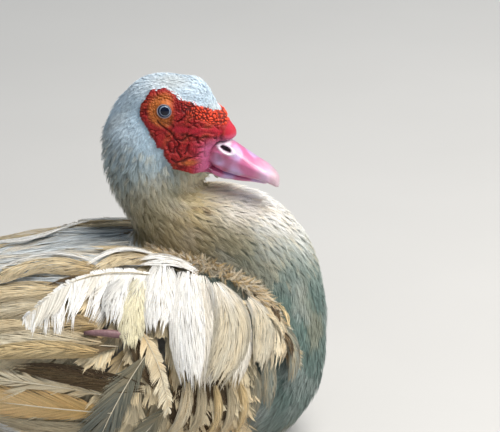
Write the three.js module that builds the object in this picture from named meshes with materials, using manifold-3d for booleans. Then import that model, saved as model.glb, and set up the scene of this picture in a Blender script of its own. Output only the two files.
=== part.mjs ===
// A domestic white Muscovy duck, lying at rest with its neck drawn back and its bill laid on its breast.
//
// Millimetres, +Z up. The duck faces +X and its right side is -Y. The origin is on the floor, in the middle
// of the flat that its belly rests on. The flesh is one smooth body of blended masses, and each named part is
// the piece of that body that lies between two thin cuts. Wings, tail, bill and feet are lofted on their own.
import * as THREE from "three";
import { mergeVertices } from "three/addons/utils/BufferGeometryUtils.js";
import Module from "manifold-3d";

const wasm = await Module();
wasm.setup();

// ---------------------------------------------------------------- driving dimensions

const GAP = 0.3; // clearance between pieces that touch
const ROOM = 1.6; // how far a curved piece stands off the body that it lies on
const FAR = 900; // larger than the duck, for half-spaces and prisms

// The head turns a little to the right of the body's own line, about the point between the eyes.
const HEAD_AT = new THREE.Vector3(23, 0, 282);
const HEAD_TURN = THREE.MathUtils.degToRad(-14);

// Masses of the trunk: centre and half-axes.
const TRUNK_MASSES = [
  { name: "belly", centre: [-15, 0, 82], radii: [146, 82, 86] },
  { name: "breast", centre: [82, 0, 70], radii: [68, 68, 74] },
  { name: "flank_right", centre: [0, -34, 44], radii: [104, 42, 45] },
  { name: "flank_left", centre: [0, 34, 44], radii: [104, 42, 45] },
  { name: "rump", centre: [-140, 0, 102], radii: [76, 56, 50] },
  { name: "tail_root", centre: [-196, 0, 110], radii: [44, 34, 20] },
];
const TRUNK_BLEND = 30;

// The neck's line, from inside the breast, up over its bend and back to the skull: X, Z and radius.
const NECK_LINE = [
  [90, 84, 50],
  [103, 112, 45],
  [99, 140, 43],
  [85, 162, 42],
  [63, 175, 40],
  [43, 178, 35],
  [25, 189, 29],
  [12, 206, 27],
  [4, 228, 26.5],
  [4, 250, 24],
];
const NECK_STEPS = 24;
const NECK_BLEND = 18;

// Masses of the head, in its own frame: x forward, z up, from the point between the eyes.
const HEAD_MASSES = [
  { name: "cranium", centre: [-1, 0, -9], radii: [34, 23, 29] },
  { name: "nape", centre: [-24, 0, -36], radii: [23, 23, 36] },
  { name: "cheek", centre: [4, 0, -40], radii: [30, 23, 27] },
  { name: "forehead", centre: [21, 0, -10], radii: [17, 16, 27] },
  { name: "bridge", centre: [35, 0, -20], radii: [13, 11, 15] },
  { name: "face", centre: [24, 0, -32], radii: [17, 16, 24] },
  { name: "jaw", centre: [17, 0, -54], radii: [19, 14, 12] },
];
const HEAD_BLEND = 9;
const KNOB = { centre: [45, 0, -27], radii: [7.5, 9, 8] };
const KNOB_BLEND = 4;
const EYE = { at: [1.6, 17.5, -2.4], radius: 7.5 };
// Grid steps that the blended masses are meshed with.
const HEAD_CELL = 7.8;
const NECK_CELL = 14;
const BODY_CELL = 21;

// The bill in the head's frame, by rows of x, half width, top and bottom.
const BILL_UPPER = [
  [28, 10.5, -31, -47],
  [38, 12.4, -27, -53],
  [50, 12.8, -31, -57.5],
  [58, 12.4, -38.5, -59],
  [68, 12.2, -45, -60.5],
  [77, 11.2, -50.6, -63],
  [82, 8.2, -54.6, -66.5],
  [84.6, 4, -59, -67.5],
];
const BILL_LOWER = [
  [24, 10.5, -48, -60],
  [36, 10.5, -52, -64],
  [50, 10, -56, -66.5],
  [66, 9, -59, -68],
  [76, 6, -63, -68.5],
];
const NAIL_FROM = 78; // the horny nail on the tip of the bill
const NOSTRIL = { at: [45.5, 10.5, -35.5], radii: [5, 4.5, 2.3], dip: THREE.MathUtils.degToRad(27) };

// The bare red skin round the eye and down to the bill, seen from the side in the head's frame.
const FACE_OUTLINE = [
  [-18.8, -3.4],
  [-13.9, -14.8],
  [-7.1, -25.1],
  [-1.3, -32.6],
  [4.6, -41.9],
  [9.4, -47.6],
  [17.2, -51.5],
  [30, -54],
  [60, -62],
  [60, -10],
  [40, -1],
  [25, 3],
  [15.5, 5.4],
  [9.6, 10.4],
  [-0.1, 14.1],
  [-6.1, 11.3],
  [-11, 4],
];

// Each layer of a folded wing, seen from its side: X and height, how thick it stands off the body at its
// front end and at its thickest, the X between which it thickens, and the tilt of the view it is outlined in.
const SCAPULARS = {
  thickness: [2.5, 8],
  thickens: [95, 30],
  tilt: 45,
  outline: [
    [98, 44],
    [88, 70],
    [60, 92],
    [10, 106],
    [-50, 108],
    [-96, 98],
    [-128, 78],
    [-110, 62],
    [-84, 54],
    [-52, 42],
    [-16, 30],
    [30, 24],
    [72, 28],
    [92, 34],
  ],
};
const COVERTS = {
  thickness: [3, 10],
  thickens: [108, 50],
  tilt: 0,
  outline: [
    [110, 92],
    [104, 114],
    [80, 126],
    [20, 132],
    [-40, 132],
    [-56, 116],
    [-48, 100],
    [-52, 84],
    [-36, 68],
    [10, 57],
    [60, 54],
    [94, 64],
    [107, 78],
  ],
};
const SECONDARIES = {
  thickness: [5.5, 5.5],
  thickens: [100, 0],
  tilt: 0,
  outline: [
    [60, 60],
    [20, 48],
    [-40, 44],
    [-84, 52],
    [-124, 68],
    [-152, 88],
    [-164, 106],
    [-150, 120],
    [-116, 128],
    [-60, 132],
    [0, 120],
  ],
};

// The fan of the tail and the long wing feathers, as flat blades.
const TAIL = {
  rows: [
    [-302, 60, 105, 102],
    [-270, 56, 110, 105],
    [-240, 48, 115, 108],
    [-205, 36, 119, 110],
    [-180, 28, 120, 112],
  ],
  feathers: 9,
  scallop: 3.5, // how deep the notches between the feathers are
  bow: 16, // how far the outer feathers fall short of the middle one
  reach: 4, // how far the middle feather stops short of the first row
};
const PRIMARIES = {
  line: [
    [-92, -70, 108],
    [-130, -57, 127],
    [-170, -37, 140],
    [-210, -23, 135],
    [-248, -12, 128],
  ],
  halfWidths: [15, 18, 17, 12, 4],
  flatness: 0.2,
  roll: THREE.MathUtils.degToRad(-38),
};

// Feet: the toe joint, then each toe's tip, and the heel that the shank runs back to.
const FOOT = {
  joint: [20, -71, 7],
  heel: [-44, -66, 10],
  thigh: [-60, -60, 24],
  toes: [
    { name: "inner", knuckle: [44, -63, 6], tip: [66, -57, 4], radius: 4 },
    { name: "middle", knuckle: [53, -75, 6.5], tip: [84, -78, 4], radius: 4.4 },
    { name: "outer", knuckle: [45, -87, 6], tip: [70, -98, 4], radius: 4 },
    { name: "hind", knuckle: [11, -64.5, 5.5], tip: [5, -62, 4], radius: 2.8 },
  ],
  toeSwell: 0.6, // how much thicker a toe is at its joint
  toeTaper: 0.72,
  ankle: [-12, -69, 7],
  shankRadii: [9, 7, 5.5, 6],
  cut: 14, // the X where the foot ends and the shank begins
  web: { thickness: 2, bottom: 2.5, notches: [[68, -68], [69, -88]] },
  claw: { length: 10, width: 0.5, tip: 0.6, tipHeight: 1.6 }, // the longest claw's, the width by its toe's
};

// ---------------------------------------------------------------- solids

// A closed geometry with shared vertices: only its positions are kept.
function weld(geometry) {
  geometry.deleteAttribute("normal");
  geometry.deleteAttribute("uv");
  return mergeVertices(geometry, 1e-4);
}

function toSolid(geometry) {
  return new wasm.Manifold(
    new wasm.Mesh({
      numProp: 3,
      vertProperties: new Float32Array(geometry.attributes.position.array),
      triVerts: new Uint32Array(geometry.index.array),
    }),
  );
}

function toGeometry(solid) {
  const mesh = solid.getMesh();
  const geometry = new THREE.BufferGeometry();
  geometry.setAttribute("position", new THREE.BufferAttribute(mesh.vertProperties, 3));
  geometry.setIndex(new THREE.BufferAttribute(mesh.triVerts, 1));
  return geometry;
}

// Moves every vertex of a welded geometry by a function of its place.
function reshape(geometry, move) {
  const place = geometry.attributes.position;
  const p = new THREE.Vector3();
  for (let i = 0; i < place.count; i++) {
    move(p.fromBufferAttribute(place, i));
    place.setXYZ(i, p.x, p.y, p.z);
  }
  return geometry;
}

function minus(solid, ...cutters) {
  return cutters.reduce((left, cutter) => left.subtract(cutter), solid);
}

function within(solid, ...limits) {
  return limits.reduce((left, limit) => left.intersect(limit), solid);
}

// The half-space on the side of a plane that its normal points to, GAP / 2 clear of the plane.
function halfSpace(point, normal) {
  const box = weld(new THREE.BoxGeometry(FAR, FAR, FAR));
  const n = new THREE.Vector3(...normal).normalize();
  const turn = new THREE.Quaternion().setFromUnitVectors(new THREE.Vector3(0, 0, 1), n);
  const centre = new THREE.Vector3(...point).addScaledVector(n, FAR / 2 + GAP / 2);
  box.applyMatrix4(new THREE.Matrix4().compose(centre, turn, new THREE.Vector3(1, 1, 1)));
  return toSolid(box);
}

// The two sides of a cut through the body: +1 is the side that its normal points to.
function sideOf({ point, normal }, towards) {
  const facing = normal.map((n) => n * towards);
  return halfSpace(point, facing);
}

// The same piece for the other side of the body.
function mirrored(solid) {
  return toSolid(flipped(toGeometry(solid)));
}

function flipped(geometry) {
  geometry.scale(1, -1, 1);
  const index = geometry.index.array;
  for (let i = 0; i < index.length; i += 3) [index[i + 1], index[i + 2]] = [index[i + 2], index[i + 1]];
  return geometry;
}

// A prism on an outline in the plane z = 0, from one height to another.
function prism(points, bottom, top) {
  const shape = new THREE.Shape(points.map(([x, y]) => new THREE.Vector2(x, y)));
  const extruded = new THREE.ExtrudeGeometry(shape, { depth: top - bottom, bevelEnabled: false });
  return toSolid(weld(extruded).translate(0, 0, bottom));
}

// A prism on an outline of X and height seen from the duck's right side, the view tilted by some degrees.
function sidePrism(points, near, far, tilt = 0) {
  const turn = new THREE.Matrix4().makeRotationX(THREE.MathUtils.degToRad(90 - tilt));
  return prism(points, near, far).transform(turn.toArray());
}

// An outline moved outwards from its own middle by a clearance.
function widened(points, clearance) {
  const middle = points.reduce(([x, y], [u, v]) => [x + u / points.length, y + v / points.length], [0, 0]);
  return points.map(([x, y]) => {
    const reach = Math.hypot(x - middle[0], y - middle[1]);
    const k = 1 + (2 * clearance) / reach;
    return [middle[0] + (x - middle[0]) * k, middle[1] + (y - middle[1]) * k];
  });
}

// ---------------------------------------------------------------- the body as blended masses

// Each mass is a function of a point: about how far the point lies outside it, negative inside.
function ellipsoid({ centre, radii }) {
  const [x, y, z] = centre;
  const [a, b, c] = radii;
  return (p) => {
    const [u, v, w] = [(p.x - x) / a, (p.y - y) / b, (p.z - z) / c];
    const reach = Math.hypot(u, v, w);
    const slope = Math.hypot(u / a, v / b, w / c);
    return slope < 1e-6 ? -Math.min(a, b, c) : (reach * (reach - 1)) / slope;
  };
}

// Two masses joined with a fillet of about the given width.
function blend(a, b, width) {
  const overlap = Math.max(width - Math.abs(a - b), 0) / width;
  return Math.min(a, b) - (overlap * overlap * width) / 4;
}

function blendAll(masses, width) {
  return (p) => masses.map((mass) => mass(p)).reduce((a, b) => blend(a, b, width));
}

// A tube of changing radius round the smooth line through rows of X, Z and radius.
function tube(rows, steps) {
  const line = new THREE.CatmullRomCurve3(rows.map(([x, z, r]) => new THREE.Vector3(x, r, z)));
  const marks = line.getPoints(steps);
  const links = marks.slice(1).map((b, i) => ({ a: marks[i], b }));
  return (p) =>
    Math.min(
      ...links.map(({ a, b }) => {
        const [dx, dz] = [b.x - a.x, b.z - a.z];
        const share = ((p.x - a.x) * dx + (p.z - a.z) * dz) / (dx * dx + dz * dz);
        const t = THREE.MathUtils.clamp(share, 0, 1);
        return Math.hypot(p.x - a.x - t * dx, p.y, p.z - a.z - t * dz) - (a.y + t * (b.y - a.y));
      }),
    );
}

const headFrame = new THREE.Matrix4().makeRotationZ(HEAD_TURN).setPosition(HEAD_AT);
const intoHead = headFrame.clone().invert();
const inHead = new THREE.Vector3();

const trunkMass = blendAll(TRUNK_MASSES.map(ellipsoid), TRUNK_BLEND);
const neckMass = tube(NECK_LINE, NECK_STEPS);
const upperNeckMass = tube(NECK_LINE.slice(-5), NECK_STEPS / 2);
const skullMass = blendAll(HEAD_MASSES.map(ellipsoid), HEAD_BLEND);
const knobMass = ellipsoid(KNOB);
const headMass = (p) => {
  inHead.copy(p).applyMatrix4(intoHead);
  return blend(skullMass(inHead), knobMass(inHead), KNOB_BLEND);
};

const bodyField = (p) => blend(trunkMass(p), neckMass(p), NECK_BLEND);
const headField = (p) => blend(headMass(p), upperNeckMass(p), HEAD_BLEND);
const neckField = (p) => Math.min(bodyField(p), headField(p));

// ---------------------------------------------------------------- meshing a field

// The twelve edges of a grid cell, each as its two corners.
const CELL_EDGES = [];
for (let corner = 0; corner < 8; corner++) {
  for (const bit of [1, 2, 4]) {
    if (!(corner & bit)) CELL_EDGES.push([corner, corner | bit]);
  }
}

// How a vertex is drawn onto the surface: passes, and the step that the field's slope is measured over.
const SETTLE_PASSES = 3;
const SLOPE_STEP = 0.4;
const LEAST_SLOPE = 0.25;

// Moves a point onto a field's surface along the field's slope.
function settle(p, field) {
  const q = new THREE.Vector3();
  const half = SLOPE_STEP / 2;
  const slope = new THREE.Vector3();
  for (let pass = 0; pass < SETTLE_PASSES; pass++) {
    for (const axis of [0, 1, 2]) {
      const change = field(nudged(q, p, axis, half)) - field(nudged(q, p, axis, -half));
      slope.setComponent(axis, change / SLOPE_STEP);
    }
    p.addScaledVector(slope, -field(p) / Math.max(slope.lengthSq(), LEAST_SLOPE));
  }
  return p;
}

function nudged(q, p, axis, step) {
  return q.copy(p).setComponent(axis, p.getComponent(axis) + step);
}

function cornerPlace([x, y, z], corner) {
  return [x + (corner & 1), y + ((corner >> 1) & 1), z + (corner >> 2)];
}

// A closed mesh of where a field is zero inside a box, with one vertex for each grid cell it crosses.
function meshField(field, { from, to, cell }) {
  const size = from.map((low, axis) => Math.ceil((to[axis] - low) / cell) + 1);
  const stride = [1, size[0], size[0] * size[1]];
  const placeOf = (n) => [n % size[0], Math.floor(n / size[0]) % size[1], Math.floor(n / stride[2])];
  const pointAt = (place) => new THREE.Vector3(...place.map((k, axis) => from[axis] + k * cell));
  const onRim = (place) => place.some((k, axis) => k === 0 || k === size[axis] - 1);
  const value = Array.from({ length: stride[2] * size[2] }, (_, n) => {
    const depth = field(pointAt(placeOf(n)));
    return onRim(placeOf(n)) ? Math.max(depth, cell / 2) : depth;
  });

  const vertices = [];
  const vertexOf = new Map();
  for (let n = 0; n < value.length; n++) {
    const place = placeOf(n);
    if (place.some((k, axis) => k === size[axis] - 1)) continue;
    const cornerValue = (c) => value[n + (c & 1) + (c & 2 ? stride[1] : 0) + (c & 4 ? stride[2] : 0)];
    const crossed = CELL_EDGES.filter(([a, b]) => cornerValue(a) < 0 !== cornerValue(b) < 0);
    if (!crossed.length) continue;
    const middle = new THREE.Vector3();
    for (const [a, b] of crossed) {
      const t = cornerValue(a) / (cornerValue(a) - cornerValue(b));
      const [p, q] = [a, b].map((corner) => pointAt(cornerPlace(place, corner)));
      middle.addScaledVector(p.lerp(q, t), 1 / crossed.length);
    }
    const inside = middle.toArray().every((v, axis) => v > from[axis] + cell && v < to[axis] - 2 * cell);
    vertexOf.set(n, vertices.length);
    vertices.push(inside ? settle(middle, field) : middle);
  }

  const index = [];
  for (let n = 0; n < value.length; n++) {
    for (const axis of [0, 1, 2]) {
      const next = n + stride[axis];
      if (placeOf(n)[axis] === size[axis] - 1 || value[n] < 0 === value[next] < 0) continue;
      const [e, f] = [stride[(axis + 1) % 3], stride[(axis + 2) % 3]];
      const ring = [n, n - e, n - e - f, n - f].map((m) => vertexOf.get(m));
      const [a, b, c, d] = value[n] < 0 ? ring : ring.reverse();
      const alongAC = vertices[a].distanceTo(vertices[c]) < vertices[b].distanceTo(vertices[d]);
      index.push(...(alongAC ? [a, b, c, a, c, d] : [a, b, d, b, c, d]));
    }
  }
  const geometry = new THREE.BufferGeometry().setFromPoints(vertices);
  geometry.setIndex(index);
  return toSolid(geometry);
}

// ---------------------------------------------------------------- lofts

// A smooth function through rows of numbers: the first of each row is the place along the piece.
function through(rows) {
  const places = rows.map((row) => row[0]);
  const curve = (column) => {
    const points = rows.map((row) => new THREE.Vector2(row[0], row[column]));
    return new THREE.SplineCurve(points);
  };
  const curves = rows[0].slice(1).map((_, i) => curve(i + 1));
  return (place) => {
    let i = 0;
    while (i < places.length - 2 && place > places[i + 1]) i++;
    const share = THREE.MathUtils.clamp((place - places[i]) / (places[i + 1] - places[i]), 0, 1);
    return curves.map((spline) => spline.getPoint((i + share) / (places.length - 1)).y);
  };
}

// A closed loft along x through rows of x, half width, top and bottom.
// A squareness over 1 fills its lower half.
function loftAlong(rows, { sides = 20, rings = 14, grow = 0, squareness = 1 } = {}) {
  const section = through(rows);
  const [first, last] = [rows[0][0] - grow, rows.at(-1)[0] + grow];
  const drum = weld(new THREE.CylinderGeometry(1, 1, 1, sides, rings));
  return toSolid(
    reshape(drum, (p) => {
      const x = THREE.MathUtils.lerp(first, last, 0.5 - 0.5 * Math.cos((p.y + 0.5) * Math.PI));
      const [half, top, bottom] = section(x);
      const [mid, tall] = [(top + bottom) / 2, (top - bottom) / 2 + grow];
      const rise = p.z < 0 ? -Math.pow(-p.z, 1 / squareness) : p.z;
      p.set(x, -p.x * (half + grow), mid + rise * tall);
    }),
  );
}

// A closed tube along a smooth curve. The radius is a list spread over its length, flattened and rolled.
function limb(points, radii, { sides = 8, rings = 8, flatness = 1, roll = 0, grow = 0 } = {}) {
  const curve = new THREE.CatmullRomCurve3(points.map((p) => new THREE.Vector3(...p)));
  const radiusAt = through(radii.map((r, i) => [i / (radii.length - 1), r]));
  const drum = weld(new THREE.CylinderGeometry(1, 1, 1, sides, rings));
  return toSolid(
    reshape(drum, (p) => {
      const t = p.y + 0.5;
      const heading = curve.getTangent(t);
      const side = new THREE.Vector3(-heading.y, heading.x, 0).normalize().applyAxisAngle(heading, roll);
      const up = new THREE.Vector3().crossVectors(heading, side);
      const [radius] = radiusAt(t);
      const [across, rise] = [p.x * (radius + grow), -p.z * (radius * flatness + grow)];
      p.copy(curve.getPoint(t)).addScaledVector(side, across).addScaledVector(up, rise);
    }),
  );
}

// ---------------------------------------------------------------- trunk and neck

// The box that a field is meshed in: its X and Z from and to, and a whole number of steps across the middle.
function grid([lowX, lowZ], [highX, highZ], across, cell) {
  const half = (across * cell) / 2;
  return { from: [lowX, -half, lowZ], to: [highX, half, highZ], cell };
}

const TRUNK_GRID = grid([-260, -22], [174, 209], 11, BODY_CELL);
const LOWER_NECK_GRID = grid([-34, 60], [174, 236], 12, NECK_CELL);
const UPPER_NECK_GRID = grid([-60, 128], [76, 264], 8, NECK_CELL);
const HEAD_GRID = grid([-60, 180], [110, 320], 14, HEAD_CELL);

// Where the parts of the body meet: a point on each cut, and its normal towards the head.
const HEAD_CUT = { point: [38, 0, 207], normal: [0.25, 0, 0.97] };
const THROAT_CUT = { point: [38, 0, 207], normal: [0.966, 0, -0.26] };
const BREAST_CUT = { point: [0, 0, 172], normal: [0.443, 0, 0.897] };
const aboveFloor = halfSpace([0, 0, -GAP / 2], [0, 0, 1]);

const lowerNeckMass = meshField(bodyField, LOWER_NECK_GRID);
const trunk = within(meshField(bodyField, TRUNK_GRID), sideOf(BREAST_CUT, -1), aboveFloor);
const neckLower = within(lowerNeckMass, sideOf(BREAST_CUT, 1), sideOf(THROAT_CUT, 1));
const bodyRoom = meshField((p) => bodyField(p) - ROOM, TRUNK_GRID);
const neckUpper = within(
  meshField(neckField, UPPER_NECK_GRID),
  sideOf(HEAD_CUT, -1),
  sideOf(THROAT_CUT, -1),
  sideOf(BREAST_CUT, 1),
);
const neckLowerRoom = within(
  meshField((p) => bodyField(p) - ROOM, LOWER_NECK_GRID),
  sideOf(THROAT_CUT, 1),
).transform(intoHead.toArray());

// ---------------------------------------------------------------- bill, in the head's frame

function nostrilPit(side) {
  const pit = weld(new THREE.SphereGeometry(1, 8, 6));
  pit.scale(...NOSTRIL.radii).rotateY(NOSTRIL.dip);
  const [x, y, z] = NOSTRIL.at;
  return toSolid(pit.translate(x, side * y, z));
}

const upperShape = { sides: 14, rings: 8, squareness: 2.2 };
const lowerShape = { sides: 10, rings: 5 };
const upperRoom = loftAlong(BILL_UPPER, { ...upperShape, grow: GAP });
const lowerRoom = loftAlong(BILL_LOWER, { ...lowerShape, grow: GAP });
const upperBill = minus(loftAlong(BILL_UPPER, upperShape), nostrilPit(1), nostrilPit(-1));
const billUpper = within(upperBill, halfSpace([NAIL_FROM, 0, 0], [-1, 0, 0]));
const billNail = within(upperBill, halfSpace([NAIL_FROM, 0, 0], [1, 0, 0]));
const billLower = minus(loftAlong(BILL_LOWER, lowerShape), upperRoom, neckLowerRoom);

// ---------------------------------------------------------------- head, in its own frame

function eyeBall(side, grow = 0) {
  const ball = weld(new THREE.SphereGeometry(EYE.radius + grow, 12, 7));
  return toSolid(ball.translate(EYE.at[0], side * EYE.at[1], EYE.at[2]));
}

const wholeHead = within(meshField(headField, HEAD_GRID), sideOf(HEAD_CUT, 1)).transform(intoHead.toArray());
const openHead = minus(
  wholeHead,
  upperRoom,
  lowerRoom,
  eyeBall(1, GAP),
  eyeBall(-1, GAP),
  neckLowerRoom,
);
const HEAD_HALF = 60; // more than half the head's width
const faceBlock = sidePrism(FACE_OUTLINE, GAP / 2, HEAD_HALF);
const faceRight = within(openHead, faceBlock);
const faceLeft = within(openHead, mirrored(faceBlock));
const head = minus(openHead, sidePrism(widened(FACE_OUTLINE, GAP), -HEAD_HALF, HEAD_HALF));

// ---------------------------------------------------------------- wings

const WING_GRID = grid([-190, 12], [146, 204], 12, BODY_CELL);
const BED_GRID = grid([-260, -22], [174, 209], 9, 1.3 * BODY_CELL);
const VIEW_DEPTH = [4, 200]; // how deep the view of a wing layer's outline cuts, from the middle outwards
const ROOM_DEPTH = [VIEW_DEPTH[0] - 1, VIEW_DEPTH[1] + 1];
const rightSide = halfSpace([0, -2, 0], [0, -1, 0]);
const oneSide = trunk.add(neckLower);
const wingBed = meshField((p) => bodyField(p) - ROOM, BED_GRID).add(oneSide).add(mirrored(oneSide));

function wingLayer({ thickness, thickens, tilt, outline }, ...above) {
  const thicknessAt = (x) => {
    const share = THREE.MathUtils.smoothstep(-x, -thickens[0], -thickens[1]);
    return THREE.MathUtils.lerp(thickness[0], thickness[1], share);
  };
  const grown = meshField((p) => trunkMass(p) - thicknessAt(p.x), WING_GRID);
  const cover = within(minus(grown, wingBed), sidePrism(outline, ...VIEW_DEPTH, tilt), rightSide);
  return minus(cover, ...above);
}

function roomFor({ outline, tilt }) {
  return sidePrism(widened(outline, GAP), ...ROOM_DEPTH, tilt);
}

const scapularRoom = roomFor(SCAPULARS);
const covertRoom = roomFor(COVERTS);
const secondaryRoom = roomFor(SECONDARIES);
const scapulars = wingLayer(SCAPULARS);
const coverts = wingLayer(COVERTS, scapularRoom);
const secondaries = wingLayer(SECONDARIES, scapularRoom, covertRoom);

const bladeShape = { sides: 8, rings: 8, flatness: PRIMARIES.flatness, roll: PRIMARIES.roll };
const blade = limb(PRIMARIES.line, PRIMARIES.halfWidths, bladeShape);
const primaries = minus(blade, wingBed, secondaryRoom, covertRoom, scapularRoom);

// ---------------------------------------------------------------- tail

// The rounded end of the fan: a point for each step round it, with a scallop for each feather.
function fanOutline({ rows, feathers, scallop, bow, reach }) {
  const [end, root] = [rows[0], rows.at(-1)];
  const points = [];
  const steps = feathers * 2;
  for (let i = 0; i <= steps; i++) {
    const share = (2 * i) / steps - 1;
    const bump = scallop * Math.abs(Math.sin((i / steps) * feathers * Math.PI));
    points.push([end[0] + bow * share * share - bump + reach, share * (end[1] - 1)]);
  }
  points.push([root[0], root[1] + 4], [root[0], -root[1] - 4]);
  return points.reverse();
}

const fan = loftAlong(TAIL.rows, { sides: 12, rings: 4 });
const tail = minus(within(fan, prism(fanOutline(TAIL), 0, 200)), bodyRoom);

// ---------------------------------------------------------------- feet

// The web between the three front toes, notched between their tips.
function webOutline({ joint, toes, web }) {
  const [inner, middle, outer] = toes.map(({ tip }) => tip);
  const round = [joint, inner, web.notches[0], middle, web.notches[1], outer];
  return round.map(([x, y]) => [x, y]).reverse();
}

function toe({ knuckle, tip, radius }) {
  const radii = [radius + FOOT.toeSwell, radius, radius * FOOT.toeTaper];
  return limb([FOOT.joint, knuckle, tip], radii, { sides: 6, rings: 3 });
}

// A claw that starts a gap ahead of its toe's tip and bends down to the floor.
function claw({ knuckle, tip, radius }) {
  const ahead = new THREE.Vector3(...tip).sub(new THREE.Vector3(...knuckle)).setZ(0).normalize();
  const at = (run, z) => [tip[0] + ahead.x * run, tip[1] + ahead.y * run, z];
  const longest = Math.max(...FOOT.toes.map((each) => each.radius));
  const length = FOOT.claw.length * (radius / longest);
  const points = [at(GAP, tip[2] + 0.4), at(length / 2, tip[2] - 0.2), at(length, FOOT.claw.tipHeight)];
  const wide = radius * FOOT.claw.width;
  return limb(points, [wide, wide * 0.8, FOOT.claw.tip], { sides: 5, rings: 2 });
}

const web = prism(webOutline(FOOT), FOOT.web.bottom, FOOT.web.bottom + FOOT.web.thickness);
const toes = FOOT.toes.map(toe);
const claws = FOOT.toes.map(claw);
const shankLine = [FOOT.thigh, FOOT.heel, FOOT.ankle, FOOT.joint];
const shankBlank = limb(shankLine, FOOT.shankRadii, { sides: 8, rings: 5 });
const aheadOfCut = halfSpace([FOOT.cut, 0, 0], [1, 0, 0]);
const behindCut = halfSpace([FOOT.cut, 0, 0], [-1, 0, 0]);
const wholeFoot = toes.slice(0, 3).reduce((a, b) => a.add(b), web);
const hindToe = within(toes[3], behindCut);
const foot = within(minus(wholeFoot, bodyRoom), aboveFloor, aheadOfCut);
const shank = within(minus(shankBlank.add(hindToe), bodyRoom), aboveFloor, behindCut);

// ---------------------------------------------------------------- the duck

const WHITE = { color: 0xe9e4d3, roughness: 0.85, metalness: 0 };
const CREAM = { color: 0xd9c59a, roughness: 0.85, metalness: 0 };
const FACE_RED = { color: 0xc8503c, roughness: 0.6, metalness: 0 };
const BILL_PINK = { color: 0xd9899b, roughness: 0.4, metalness: 0 };
const HORN = { color: 0xb79a86, roughness: 0.4, metalness: 0 };
const FOOT_ORANGE = { color: 0xd08a5a, roughness: 0.6, metalness: 0 };
const EYE_GREY = { color: 0x27323f, roughness: 0.1, metalness: 0 };

const duck = new THREE.Group();
const headGroup = new THREE.Group();
headGroup.position.copy(HEAD_AT);
headGroup.rotation.z = HEAD_TURN;
duck.add(headGroup);

function addPiece(group, name, solid, finish) {
  const mesh = new THREE.Mesh(toGeometry(solid), new THREE.MeshStandardMaterial(finish));
  mesh.name = name;
  group.add(mesh);
}

// A piece of the right side and its twin on the left.
function addPair(name, solid, finish) {
  addPiece(duck, `${name}_right`, solid, finish);
  addPiece(duck, `${name}_left`, mirrored(solid), finish);
}

addPiece(duck, "trunk", trunk, WHITE);
addPiece(duck, "neck_lower", neckLower, WHITE);
addPiece(duck, "neck_upper", neckUpper, WHITE);
addPiece(headGroup, "head", head, WHITE);
addPiece(headGroup, "face_skin_right", faceRight, FACE_RED);
addPiece(headGroup, "face_skin_left", faceLeft, FACE_RED);
addPiece(headGroup, "bill_upper", billUpper, BILL_PINK);
addPiece(headGroup, "bill_nail", billNail, HORN);
addPiece(headGroup, "bill_lower", billLower, BILL_PINK);
addPiece(headGroup, "eye_right", eyeBall(-1), EYE_GREY);
addPiece(headGroup, "eye_left", eyeBall(1), EYE_GREY);
addPair("scapulars", scapulars, WHITE);
addPair("wing_coverts", coverts, WHITE);
addPair("secondaries", secondaries, CREAM);
addPair("primaries", primaries, WHITE);
addPiece(duck, "tail", tail, WHITE);
addPair("shank", shank, FOOT_ORANGE);
addPair("foot", foot, FOOT_ORANGE);
FOOT.toes.forEach(({ name }, i) => addPair(`claw_${name}`, claws[i], HORN));

export default duck;
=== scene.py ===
# %% [markdown]
# # A white domestic duck at rest
#
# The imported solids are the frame: the body's masses, the bill, the eyes, the wings' layers, the tail and
# the feet. This lesson dresses them. One skin takes the place of the flesh, with the bare red face modelled
# into it, and a coat of feathers lies over the rest. Every feather is a fan of thin ribbons, one for each
# clump of barbs.

# %% Load the frame
import math

import bpy
import numpy as np
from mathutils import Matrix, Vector
from mathutils.bvhtree import BVHTree


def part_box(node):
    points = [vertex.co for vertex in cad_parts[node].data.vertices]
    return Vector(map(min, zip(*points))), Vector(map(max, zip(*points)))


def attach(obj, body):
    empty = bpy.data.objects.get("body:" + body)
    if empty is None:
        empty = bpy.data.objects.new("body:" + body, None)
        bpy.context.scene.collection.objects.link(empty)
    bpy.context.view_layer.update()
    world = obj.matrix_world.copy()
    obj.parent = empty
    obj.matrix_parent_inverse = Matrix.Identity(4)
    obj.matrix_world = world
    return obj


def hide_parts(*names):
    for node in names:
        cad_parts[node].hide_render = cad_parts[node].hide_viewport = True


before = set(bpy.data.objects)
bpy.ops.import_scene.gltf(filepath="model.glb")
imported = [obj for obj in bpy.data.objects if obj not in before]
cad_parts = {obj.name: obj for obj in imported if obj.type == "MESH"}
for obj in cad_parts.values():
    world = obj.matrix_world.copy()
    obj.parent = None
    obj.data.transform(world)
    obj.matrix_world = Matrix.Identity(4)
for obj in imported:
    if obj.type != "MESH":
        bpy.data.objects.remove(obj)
bpy.context.view_layer.update()
MM = 0.001
SIDES = {"right": -1, "left": 1}

# %% [markdown]
# ## Camera, floor and light
#
# The camera stands off the duck's right side, a little behind it and above it, with a long lens.

# %% Place the camera
VIEW_AZIMUTH = math.radians(-8)
VIEW_ELEVATION = math.radians(22)
VIEW_DISTANCE = 2.111
VIEW_TARGET = Vector((0.086, 0, 0.1835))
LENS = 200


def direction(azimuth, elevation):
    """The unit vector towards a place round the duck: azimuth 0 is off its right side."""
    level = math.cos(elevation)
    return Vector((math.sin(azimuth) * level, -math.cos(azimuth) * level, math.sin(elevation)))


bpy.ops.object.camera_add()
camera = bpy.context.object
camera.name = "camera"
camera.data.lens = LENS
camera.data.sensor_width = 36
camera.location = VIEW_TARGET + direction(VIEW_AZIMUTH, VIEW_ELEVATION) * VIEW_DISTANCE
camera.rotation_euler = (VIEW_TARGET - camera.location).to_track_quat("-Z", "Y").to_euler()
bpy.context.scene.camera = camera
print("camera at", tuple(round(v, 3) for v in camera.location))

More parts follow.
